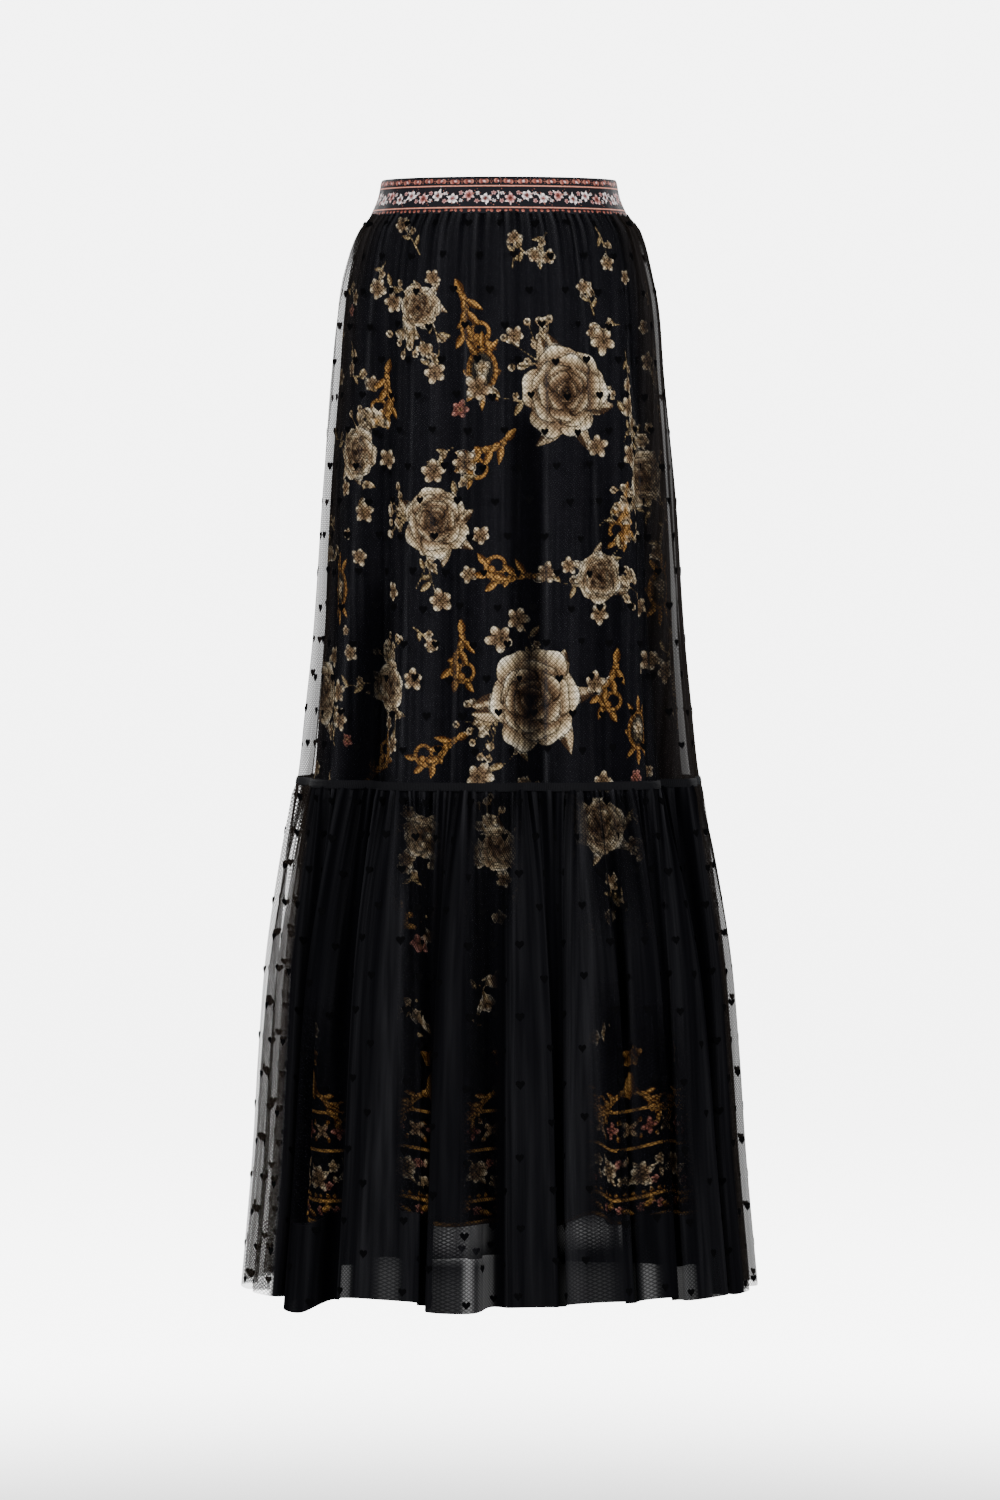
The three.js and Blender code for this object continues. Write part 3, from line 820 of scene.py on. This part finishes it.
def net_cloth(name):
    """A net that is clear where few plies lie over each other, and black where many do."""
    material, tree = new_material(name)
    cut = add(tree, "ShaderNodeUVMap", uv_map="cut").outputs[0]
    plies, painted_light, backlit = [node.outputs["Fac"] for node in stored(tree, "plies", "painted_light", "backlit")]
    bars = []
    for turn in (45, -45):
        turned = add(tree, "ShaderNodeMapping", {"Vector": cut, "Rotation": (0, 0, math.radians(turn))})
        bars.append(add(tree, "ShaderNodeTexWave", {
            "Vector": turned.outputs[0], "Scale": WAVE_UNIT / NET_PITCH}).outputs["Fac"])
    threads = add(tree, "ShaderNodeMath", {0: bars[0], 1: bars[1]}, operation="MAXIMUM")
    holes = ranged(tree, threads.outputs[0], 0.4, 1, 1.45, 0.4)
    through = add(tree, "ShaderNodeMath", {0: ranged(tree, plies, 0, 1, THIN_NET_CLEAR, 0), 1: holes},
                  operation="MULTIPLY", use_clamp=True)
    alpha = add(tree, "ShaderNodeMath", {0: 1.0, 1: through.outputs[0]}, operation="SUBTRACT")
    drawn = add(tree, "ShaderNodeMapping", {"Vector": cut, "Scale": (1 / FINE_PLEAT, 9.0, 1.0)})
    wrinkle_light = add(tree, "ShaderNodeTexNoise", {"Vector": drawn.outputs[0], "Scale": 1.0, "Detail": 2.0})
    # Painted light and shade: the net's colour runs from black to dark grey where it is painted lit, broken
    # by fine streaks of noise along the pleats, and is painted warm at the sides as light from behind.
    lit = product(tree, painted_light, ranged(tree, wrinkle_light.outputs["Fac"], 0.3, 0.7, 0.5, 1.5))
    colour = mixed(tree, lit, linear("#030304"), linear("#1b1b1d"))
    surface(tree, mixed(tree, backlit, colour, linear("#1c1712")), 0.9, 0, {"Alpha": alpha.outputs[0]})
    return material


tulle = net_cloth("black_tulle")
NET_CLEARANCE = 0.9
SIDE_SEAM = 5


def sheet_piece(name, points, material, uv, values):
    """A net panel: one face with no thickness, and values from 0 to 1 at its points."""
    flat = {key: np.clip(value, 0, 1).reshape(-1) for key, value in values.items()}
    return mesh_piece(name, points.reshape(-1, 3), sheet_faces(*points.shape[:2]), material,
                      uv.reshape(-1, 2), flat)


# The net panels, kept until the hearts are set on them.
net_panels = {}

for seed, (side, start) in enumerate(SIDES.items()):
    share = np.linspace(0, 1, UPPER_ROWS) ** 1.2
    levels = UPPER_TOP + (UPPER_FOOT - UPPER_TOP) * share
    angle, z = panel_grid(start, UPPER_COLUMNS, levels)
    below = UPPER_TOP - z
    width = UPPER_CUT["top"] + (UPPER_CUT["foot"] - UPPER_CUT["top"]) * share
    u = (np.linspace(0, 1, UPPER_COLUMNS + 1) - 0.5)[None, :] * width[:, None]
    near_tape = np.clip((z - UPPER_FOOT) / TAPE_HOLDS, 0, 1)
    waves = gather_waves(u, below, UPPER_GATHERS, 31 + seed) * np.clip(0.5 + below / 30, 0, 1)
    waves = waves * off_seams(angle, start) * near_tape
    fold = fold_depth(TIER_FOLDS, angle) * tier_share(z)
    inside = np.minimum(fold + 1.0 + waves, lining_inside(angle, z) - NET_CLEARANCE)
    points = on_form(angle, z, inside)
    hollow = valley_share(TIER_FOLDS, angle) * tier_share(z)
    sides = beside(angle, UPPER_SIDES_FROM, 12)
    pleats = streaks(u, below, (8.5, 15), 43 + seed)
    plies = 0.02 + 0.14 * streaks(u, below, (7, 13, 29), 41 + seed) ** 2 * (1 - sides) + 0.2 * hollow
    plies = plies + np.where(np.sin(np.radians(angle)) > 0, RIGHT_PLIES, LEFT_PLIES) * sides
    plies = plies + 0.5 * np.exp(-below / 10) + 0.55 * pleats**2 * np.exp(-below / 34)
    # Painted light and shade on the net's colour: lighter on the pleats, most near the band, darker in the
    # hollows of the folds, and lighter or darker along the creases below.
    painted_light = 0.2 + 0.3 * streaks(u, below, (9, 23), 45 + seed) - 0.35 * hollow
    painted_light = painted_light + 0.7 * (pleats - 0.5) * (np.exp(-below / 34) + 0.12)
    for top_at, foot_at, wide, top, foot, ply, lit in CREASES:
        at = top_at + (foot_at - top_at) * (below / (UPPER_TOP - UPPER_FOOT))
        line = np.exp(-((angle - at) / wide) ** 2) * between(z, top, foot)
        plies = plies + ply * line
        painted_light = painted_light + lit * line
    seam = np.minimum(angle - start, start + 180 - angle) * np.pi / 180 * SEAM_RADIUS
    plies = plies + 0.35 * (seam < SIDE_SEAM)
    piece = sheet_piece(f"upper_tier_{side}_net", points, tulle, np.stack([u, z - UPPER_FOOT], -1),
                        {"plies": plies, "painted_light": painted_light, "backlit": 0.3 * sides})
    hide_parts(f"upper_tier_{side}")
    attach(piece, "root")
    net_panels[f"upper_{side}"] = (points, width, UPPER_TOP - UPPER_FOOT, 51 + seed)

# The lower net tier: a straight length of the same tulle for each side, much longer than the tape that it is
# gathered to. The pleats run down from the tape and merge into deep round flutes at the raw-cut hem.
HEM_FLUTES = rows("at depth crest drop neck", [
    (-174, 25, 1, 2, 0.3), (-158, 21, 4, -3, 0.2), (-141, 26, 0, 4, 0.35), (-125, 22, 2, 0, 0.25),
    (-109, 20, 0, 2, 0.3), (-91, 17, 1, 0, 0.2), (-74, 22, 0, 0, 0.3), (-57, 27, 0, 12, 0.36),
    (-44, 30, 2, -7, 0.16), (-17, 24, 0, 4, 0.42), (-1, 26, 3, -2, 0.15), (14, 20, 1, -5, 0.4),
    (32, 22, 5, -5, 0.4), (45, 18, 1, -1, 0.38), (64, 26, 2, 1, 0.35), (80, 18, 0, 0, 0.2),
    (98, 22, 1, 3, 0.3), (114, 25, 0, -2, 0.2), (132, 20, 3, 2, 0.35), (148, 26, 0, 4, 0.15),
    (167, 19, 2, -2, 0.35),
])
LOWER_TOP, LOWER_HEM = -559.5, -1042
LOWER_CUT_WIDTH = 1000
LOWER_COLUMNS, LOWER_ROWS = 460, 106
LINING_EDGE_ROWS = [-954.5, -957, -958.5, -960]
FLUTE_ONSET = 140
LOWER_GATHERS = [
    (9.5, 1.7, 45), (18, 2.4, 110), (41, 2.4, 300),
]
# Clear places, where one layer of net lies over the print or over nothing: the angle at the top and foot,
# half the width in degrees, the top and foot and how softly each ends, and how much of the net is gone.
WINDOWS = [
    (-50, -49, 3.6, -820, -957, 70, 2, 0.82), (-22, -19.5, 2.2, -650, -957, 50, 2, 0.78),
    (-4, -4.5, 2.4, -660, -957, 50, 2, 0.86), (29, 28.5, 4.2, -800, -959, 60, 2, 0.88),
    (41, 41.5, 5.6, -820, -959, 60, 2, 0.9), (-23, -22, 4, -575, -630, 10, 50, 0.52),
    (-1, -2, 4.5, -570, -640, 10, 50, 0.56), (32, 32, 8, -570, -650, 10, 60, 0.58),
    (-9, -9, 6, -958, -974, 5, 20, 0.11), (-9, -9, 6, -1020, -1060, 30, 3, 0.0036),
    (-6.3, -6.6, 0.9, -960, -1060, 6, 3, 0.032), (-2.4, -3, 1.5, -970, -1060, 20, 3, 0.009),
    (19, 20.5, 5.2, -972, -976, 16, 18, 0.09), (20.5, 20.5, 5.2, -1020, -1060, 30, 3, 0.0036),
    (30, 30, 2, -966, -976, 6, 18, 0.14), (35, 35.7, 1.9, -1016, -1060, 28, 3, 0.015),
    (57, 57, 2, -1016, -1060, 28, 3, 0.013), (-36, -36, 1.3, -1016, -1060, 28, 3, 0.011),
    (-24, -25, 2.4, -1016, -1060, 28, 3, 0.006), (47, 47, 1.4, -1016, -1060, 28, 3, 0.01),
    (125, 127, 4, -640, -950, 60, 8, 0.76), (152, 150, 3, -740, -950, 60, 8, 0.8),
    (156, 156, 11, -956, -1060, 8, 3, 0.12), (172, 171, 5, -575, -700, 10, 50, 0.6),
    (183, 184, 3, -840, -950, 60, 8, 0.84), (189, 189, 7, -956, -1060, 8, 3, 0.12),
    (207, 208, 4, -740, -950, 60, 8, 0.84), (236, 235, 3.5, -640, -950, 60, 8, 0.78),
]
SIDES_CLEAR_FROM = 61
LEFT_CLEAR, RIGHT_CLEAR = 0.56, 0.3


def gathered_in(table, angle, share):
    """The angles moved towards the valleys, which makes each flute round and draws its neck together."""
    k, following, width, across = fold_at(table, angle)
    neck = np.where(across < 0.5, column(table, "neck")[k], column(table, "neck")[following])
    wave = np.sin(2 * np.pi * across) * (1 - np.cos(2 * np.pi * across)) / 2
    return angle - share * neck * width * wave


def flute_highlights(table, angle):
    """One on the broad face of each flute, a little more at its edges, and less on some flutes: where the
    net is painted lighter, as light on the flutes against their shaded hollows.
    """
    k, _, _, across = fold_at(table, angle)
    from_neck = np.minimum(across, 1 - across)
    face = np.clip((from_neck - 0.17) / 0.06, 0, 1)
    edge = np.exp(-((from_neck - 0.24) / 0.025) ** 2)
    return (face + 0.5 * edge) * (0.72 + 0.28 * np.sin(2.4 * k + 1.2))


def window_share(offset, half):
    """One inside a window, and zero past an edge that is as crisp as the edge of a pleat."""
    return 1 / (1 + (np.abs(offset) / half) ** 8)


for seed, (side, start) in enumerate(SIDES.items()):
    levels = LOWER_TOP + (LOWER_HEM - LOWER_TOP) * np.linspace(0, 1, LOWER_ROWS) ** 1.35
    levels = np.sort(np.concatenate([levels, LINING_EDGE_ROWS]))[::-1]
    angle, z = panel_grid(start, LOWER_COLUMNS, levels)
    below = LOWER_TOP - z
    u = np.broadcast_to((np.linspace(0, 1, LOWER_COLUMNS + 1) - 0.5)[None, :] * LOWER_CUT_WIDTH, z.shape)
    formed = (1 - np.exp(-below / FLUTE_ONSET)) / (1 - math.exp((LOWER_HEM - LOWER_TOP) / FLUTE_ONSET))
    waves = gather_waves(u, below, LOWER_GATHERS, 61 + seed) * np.clip(0.5 + below / 20, 0, 1)
    waves = waves * off_seams(angle, start)
    upper = fold_depth(TIER_FOLDS, angle)
    flute = fold_depth(HEM_FLUTES, angle)
    fold = upper + (flute - upper) * formed
    turned = gathered_in(HEM_FLUTES, angle, formed)
    inside = np.minimum(fold + 1.5 + waves, lining_inside(turned, z) - NET_CLEARANCE)
    points = on_form(turned, z, inside)
    points[..., 2] -= fold_drop(HEM_FLUTES, angle) * formed
    hollow = np.clip(fold / 24, 0, 1)
    fine = streaks(u, below, (9, 17, 37), 71 + seed)
    sides = beside(turned, SIDES_CLEAR_FROM + 6 * np.exp(-below / 120), 2.0)
    right = np.sin(np.radians(turned)) > 0
    sides = sides * np.where(right, beside(turned, 72, 2), 1)
    clear = np.where(right, RIGHT_CLEAR, LEFT_CLEAR)
    plies = np.clip(0.9992 + 0.0008 * fine + 0.1 * hollow, 0, 1) * (1 - clear * sides * (0.9 + 0.2 * fine))
    plies = np.clip(plies + 0.3 * np.exp(-below / 12), 0, 1)
    # Painted light and shade: the net is painted lighter on the faces and edges of the flutes and on the
    # pleats, darker in the hollows, and less lit where its windows are clear.
    face = (1 - formed) * (1 - hollow) + formed * flute_highlights(HEM_FLUTES, angle)
    painted_light = 0.36 * face * (0.2 + 0.8 * streaks(u, below, (12, 26, 60), 77 + seed) ** 1.2)
    for top_at, foot_at, half, top, foot, soft, end, thinned in WINDOWS:
        at = top_at + (foot_at - top_at) * (below / (LOWER_TOP - LOWER_HEM))
        gone = thinned * window_share(turned - at, half) * between(z, top, foot, soft, end)
        plies = plies * (1 - gone * (0.7 + 0.4 * fine))
        painted_light = painted_light * (1 - 0.6 * gone)
    # More painted light and shade on the pleats just below the tape.
    painted_light = painted_light + 0.8 * np.exp(-below / 45) * (streaks(u, below, (9.5, 18), 79 + seed) - 0.5)
    piece = sheet_piece(f"lower_tier_{side}_net", points, tulle, np.stack([u, z - LOWER_HEM], -1),
                        {"plies": plies, "painted_light": painted_light, "backlit": clear * sides})
    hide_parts(f"lower_tier_{side}")
    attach(piece, "root")
    net_panels[f"lower_{side}"] = (points, np.full(len(levels), LOWER_CUT_WIDTH), LOWER_TOP - LOWER_HEM,
                                   81 + seed)

# The tape: a flat woven ribbon, 8 mm wide, sewn over the join of the two tiers. It takes the folds of the
# net, and its ribs are 0.6 mm apart, drawn at 1.5 mm.
TAPE_COLUMNS, TAPE_ROWS = 260, 7
TAPE_FOOT = -561
TAPE_WALL = 1.6
TAPE_PROUD = 0.3
TAPE_CUT_WIDTH = 580
RIB = 0.0015

ribbon, tree = new_material("matt_ribbon")
cut = add(tree, "ShaderNodeUVMap", uv_map="cut")
ribs = add(tree, "ShaderNodeTexWave", {
    "Vector": cut.outputs[0], "Scale": WAVE_UNIT / RIB, "Distortion": 0.4})
ribbed = add(tree, "ShaderNodeBump", {"Height": ribs.outputs["Fac"], "Strength": 0.5, "Distance": 0.0004})
surface(tree, mixed(tree, ribs.outputs["Fac"], linear("#060607"), linear("#0c0c0e")), 0.8, 0.02,
        {"Normal": ribbed.outputs[0]})

for seed, (side, start) in enumerate(SIDES.items()):
    levels = np.linspace(TAPE_TOP, TAPE_FOOT, TAPE_ROWS)
    angle, z = panel_grid(start, TAPE_COLUMNS, levels)
    u = (np.linspace(0, 1, TAPE_COLUMNS + 1) - 0.5)[None, :] * TAPE_CUT_WIDTH + 0 * z
    rolled = 0.7 * np.abs(np.linspace(-1, 1, TAPE_ROWS))[:, None] ** 6
    points = on_form(angle, z, fold_depth(TIER_FOLDS, angle) - TAPE_PROUD + rolled)
    piece = closed_wall(f"tier_tape_{side}_band", points, TAPE_WALL, TAPE_ROWS - 1, ribbon,
                        np.stack([u, z - TAPE_FOOT], -1), {})
    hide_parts(f"tier_tape_{side}")
    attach(piece, "root")

# The flock: small hearts of short black nylon pile, glued to the net in staggered rows before it is cut.
# They are 8 mm across and 0.35 mm thick, and turn with the net's folds.
HEART_WIDTH, HEART_PILE = 8.2, 0.35
HEART_POINTS = 14
HEART_PROUD = 0.05
HEART_ACROSS, HEART_DOWN = 37, 33
HEART_MARGIN = 12
PILE_GRAIN = 0.0009

flock, tree = new_material("black_flock")
place = add(tree, "ShaderNodeTexCoord")
pile = add(tree, "ShaderNodeTexNoise", {
    "Vector": place.outputs["Object"], "Scale": 1 / PILE_GRAIN, "Detail": 2.0})
napped = add(tree, "ShaderNodeBump", {"Height": pile.outputs["Fac"], "Strength": 0.6, "Distance": 0.0003})
surface(tree, mixed(tree, pile.outputs["Fac"], linear("#020202"), linear("#060607")), 1, 0,
        {"Normal": napped.outputs[0]})

outline = []
for step in range(HEART_POINTS):
    t = step / HEART_POINTS * 2 * math.pi
    outline.append((16 * math.sin(t) ** 3 / 32,
                    (13 * math.cos(t) - 5 * math.cos(2 * t) - 2 * math.cos(3 * t) - math.cos(4 * t)) / 29))
heart_mesh = bpy.data.meshes.new("heart")
low = [(x, y, 0) for x, y in outline]
high = [(x * 0.94, y * 0.94, HEART_PILE / HEART_WIDTH) for x, y in outline]
around = list(range(HEART_POINTS))
heart_faces = [[HEART_POINTS + k for k in reversed(around)], around]
heart_faces += [(k, HEART_POINTS + k, HEART_POINTS + (k + 1) % HEART_POINTS, (k + 1) % HEART_POINTS)
                for k in around]
heart_mesh.from_pydata(low + high, [], heart_faces)
heart = bpy.data.objects.new("heart", heart_mesh)


def heart_tree():
    """Sets a heart on each point, flat on the cloth, its tip down the cloth."""
    tree = bpy.data.node_groups.new("flocked_hearts", "GeometryNodeTree")
    for name, kind in (("Points", "Geometry"), ("Heart", "Object"), ("Width", "Float"),
                       ("Flock", "Material"), ("Seed", "Int")):
        tree.interface.new_socket(name, in_out="INPUT", socket_type=f"NodeSocket{kind}")
    tree.interface.new_socket("Hearts", in_out="OUTPUT", socket_type="NodeSocketGeometry")
    given = add(tree, "NodeGroupInput")
    shape = add(tree, "GeometryNodeObjectInfo", {"Object": given.outputs["Heart"]})
    facing, upward = [add(tree, "GeometryNodeInputNamedAttribute", {"Name": name}, data_type="FLOAT_VECTOR")
                      for name in ("facing", "upward")]
    flat = add(tree, "FunctionNodeAlignRotationToVector", {"Vector": facing.outputs["Attribute"]}, axis="Z")
    upright = add(tree, "FunctionNodeAlignRotationToVector", {
        "Rotation": flat.outputs[0], "Vector": upward.outputs["Attribute"]}, axis="Y", pivot_axis="Z")
    uneven = add(tree, "FunctionNodeRandomValue", {"Min": 0.92, "Max": 1.08, "Seed": given.outputs["Seed"]},
                 data_type="FLOAT")
    size = add(tree, "ShaderNodeMath", {0: uneven.outputs["Value"], 1: given.outputs["Width"]},
               operation="MULTIPLY")
    placed = add(tree, "GeometryNodeInstanceOnPoints", {
        "Points": given.outputs["Points"], "Instance": shape.outputs["Geometry"],
        "Rotation": upright.outputs[0], "Scale": size.outputs[0]})
    real = add(tree, "GeometryNodeRealizeInstances", {"Geometry": placed.outputs[0]})
    finished = add(tree, "GeometryNodeSetMaterial", {"Geometry": real.outputs[0],
                                                     "Material": given.outputs["Flock"]})
    add(tree, "NodeGroupOutput", {"Hearts": finished.outputs[0]})
    return tree


flocking = heart_tree()


def at_grid(grid, row, col):
    """A grid's values at rows and columns between its points."""
    r, c = np.clip(row.astype(int), 0, grid.shape[0] - 2), np.clip(col.astype(int), 0, grid.shape[1] - 2)
    s, t = (row - r)[:, None], (col - c)[:, None]
    return ((grid[r, c] * (1 - s) + grid[r + 1, c] * s) * (1 - t)
            + (grid[r, c + 1] * (1 - s) + grid[r + 1, c + 1] * s) * t)


def heart_places(points, widths, length, seed):
    """Rows and columns of a panel's grid where its hearts lie, in staggered rows on the flat cut."""
    chance = np.random.default_rng(seed)
    down = np.linalg.norm(np.diff(points[:, points.shape[1] // 2], axis=0), axis=-1)
    depth = np.concatenate([[0], np.cumsum(down)]) * length / down.sum()
    found = []
    for k, v in enumerate(np.arange(HEART_MARGIN, length - 3, HEART_DOWN)):
        row = np.interp(v, depth, np.arange(len(depth)))
        width = np.interp(row, np.arange(len(widths)), widths)
        first = -width / 2 + HEART_MARGIN + (k % 2) * HEART_ACROSS / 2
        for u in np.arange(first, width / 2 - HEART_MARGIN / 2, HEART_ACROSS):
            u += chance.uniform(-2, 2)
            found.append((row + chance.uniform(-0.4, 0.4), (u / width + 0.5) * (points.shape[1] - 1)))
    return np.array(found).T


for name, (points, widths, length, seed) in net_panels.items():
    row, col = heart_places(points, widths, length, seed)
    spots = at_grid(points, row, col)
    facing = at_grid(outward(points), row, col)
    upward = at_grid(-np.gradient(points, axis=0), row, col)
    seed_mesh = bpy.data.meshes.new(f"{name}_spots")
    seed_mesh.from_pydata(((spots + HEART_PROUD * facing) * MM).tolist(), [], [])
    for key, value in (("facing", facing), ("upward", upward)):
        data = seed_mesh.attributes.new(key, "FLOAT_VECTOR", "POINT").data
        data.foreach_set("vector", value.astype(np.float32).ravel())
    grower = bpy.data.objects.new(f"{name}_spots", seed_mesh)
    bpy.context.scene.collection.objects.link(grower)
    maker = grower.modifiers.new("hearts", "NODES")
    maker.node_group = flocking
    given = {"Heart": heart, "Width": HEART_WIDTH * MM, "Flock": flock, "Seed": seed}
    for item in flocking.interface.items_tree:
        if item.name in given:
            maker[item.identifier] = given[item.name]
    seen = grower.evaluated_get(bpy.context.evaluated_depsgraph_get())
    hearts_mesh = bpy.data.meshes.new_from_object(seen)
    bpy.data.objects.remove(grower)
    piece = bpy.data.objects.new(f"{name}_hearts", hearts_mesh)
    bpy.context.scene.collection.objects.link(piece)
    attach(piece, "root")
bpy.data.objects.remove(heart)

# The waistband: four shaped pieces of black satin, stiffened and turned in at both edges, with a border of
# coral lines and small pale flowers printed along them. They are sewn at the sides, centre front and back.
BAND_TOP, BAND_HEIGHT, BAND_WALL = 17.5, 35, 2.6
BAND_COLUMNS, BAND_ROWS = 220, 48
BAND_TURN_IN = 1.1
BAND_DEPTH = 95
# Each piece's name, the angle where it starts, and its length.
BAND_PIECES = [
    ("waistband_back_left", -180, 175), ("waistband_front_left", -90, 172),
    ("waistband_front_right", 0, 172), ("waistband_back_right", 90, 175),
]
CORAL_INKS = inks("#220e0b", "#62322b", "#a26e5f")
PINK_INKS = inks("#40201f", "#8d5d5b", "#d2b6b3")
WHITE_INKS = inks("#5a4e4e", "#ab9f9f", "#f2ebe8")
BAND_CELL = 0.77

satin = printed_cloth("printed_satin", "#101013", "#131316", 0.55, 0.01, 0.3)


def paint_band(cloth, seed):
    """The waistband's border: ovals over a fine line, a row of small flowers, and a line with scallops."""
    chance = np.random.default_rng(seed)
    for low, high in ((4.9, 6.3), (25.4, 26.8)):
        paint_stripe(cloth, low, high, CORAL_INKS, 0.95)
    low_u, high_u = cloth.u.min() - 5, cloth.u.max() + 5
    for place in np.arange(low_u, high_u, 5.2):
        paint_petals(cloth, place, 4.2, 1, 0.1, 2.8, 3.3, -math.pi / 2, CORAL_INKS, chance, 0.3, 0.9)
    for place in np.arange(low_u, high_u, 13.6):
        paint_petals(cloth, place, 30.6, 2, 0, 4.9, 4.6, 0, CORAL_INKS, chance, 0.3, 0.9)
        paint_petals(cloth, place, 30.6, 1, -1.8, 3.6, 2.2, 0, PINK_INKS, chance, 0.5)
        for aside, v in ((6.8, 28.9), (6.8, 32.4), (5.9, 30.6), (7.7, 30.6)):
            paint_petals(cloth, place + aside, v, 1, -0.7, 1.4, 1.3, 0, CORAL_INKS, chance, 0.5)
    for k, place in enumerate(np.arange(low_u, high_u, 15.0)):
        lean = (-1) ** k
        v = 15.8 + 1.4 * lean
        for n, turn in enumerate((0.35, 1.3, 2.6, 3.7, 4.6, 5.9)):
            ramp = (WHITE_INKS, CORAL_INKS, PINK_INKS)[(n + k) % 3]
            long = chance.uniform(5.5, 8)
            paint_leaf(cloth, place, v, long, 1.9, lean * turn + chance.uniform(-0.3, 0.3), ramp)
        outer, inner = ((WHITE_INKS, PINK_INKS), (PINK_INKS, CORAL_INKS), (WHITE_INKS, CORAL_INKS))[k % 3]
        paint_petals(cloth, place, v, 5, 0.2, 4.6, 3.6, lean, outer, chance, 0.2)
        paint_petals(cloth, place, v, 4, 0, 2.2, 1.8, 0, inner, chance, 0.1, 0.8)
        paint_petals(cloth, place + 7.4, v - 5.2 * lean, 5, 0.1, 2.3, 1.5, lean, PINK_INKS, chance, 0.3)
        paint_petals(cloth, place + 7.8, v + 2.0 * lean, 4, 0.1, 2.1, 1.4, lean, WHITE_INKS, chance, 0.3)
        for aside, up in ((5.2, 4.6), (-4.9, -5.2), (7.2, 6.2)):
            paint_petals(cloth, place + aside, v + up * lean, 1, -0.6, 1.3, 1.2, 0, CORAL_INKS, chance, 0.6)


for seed, (name, start, length) in enumerate(BAND_PIECES):
    levels = np.linspace(BAND_TOP, BAND_TOP - BAND_HEIGHT, BAND_ROWS)
    gap = np.degrees(SEAM_HALF_GAP / BAND_DEPTH)
    angle = start + gap + np.linspace(0, 1, BAND_COLUMNS + 1)[None, :] * (90 - 2 * gap) + 0 * levels[:, None]
    z = np.broadcast_to(levels[:, None], angle.shape)
    rolled = BAND_TURN_IN * np.abs(np.linspace(-1, 1, BAND_ROWS))[:, None] ** 14
    seam = 0.35 * np.exp(-np.minimum(angle - start, start + 90 - angle) / 0.5)
    ease = 0.25 * np.sin(np.radians(angle) * 23) * np.sin(np.radians(angle) * 7 + 1)
    points = on_form(angle, z, rolled + seam + ease + 0.25)
    u = np.linspace(0, 1, BAND_COLUMNS + 1)[None, :] * length + 0 * z
    v = z - BAND_TOP + BAND_HEIGHT
    cloth = Print(u + 37 * seed, v, BAND_CELL)
    paint_band(cloth, 91 + seed)
    piece = closed_wall(f"{name}_satin", points, BAND_WALL, BAND_ROWS - 1, satin, np.stack([u, v], -1),
                        cloth.grids())
    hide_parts(name)
    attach(piece, "root")
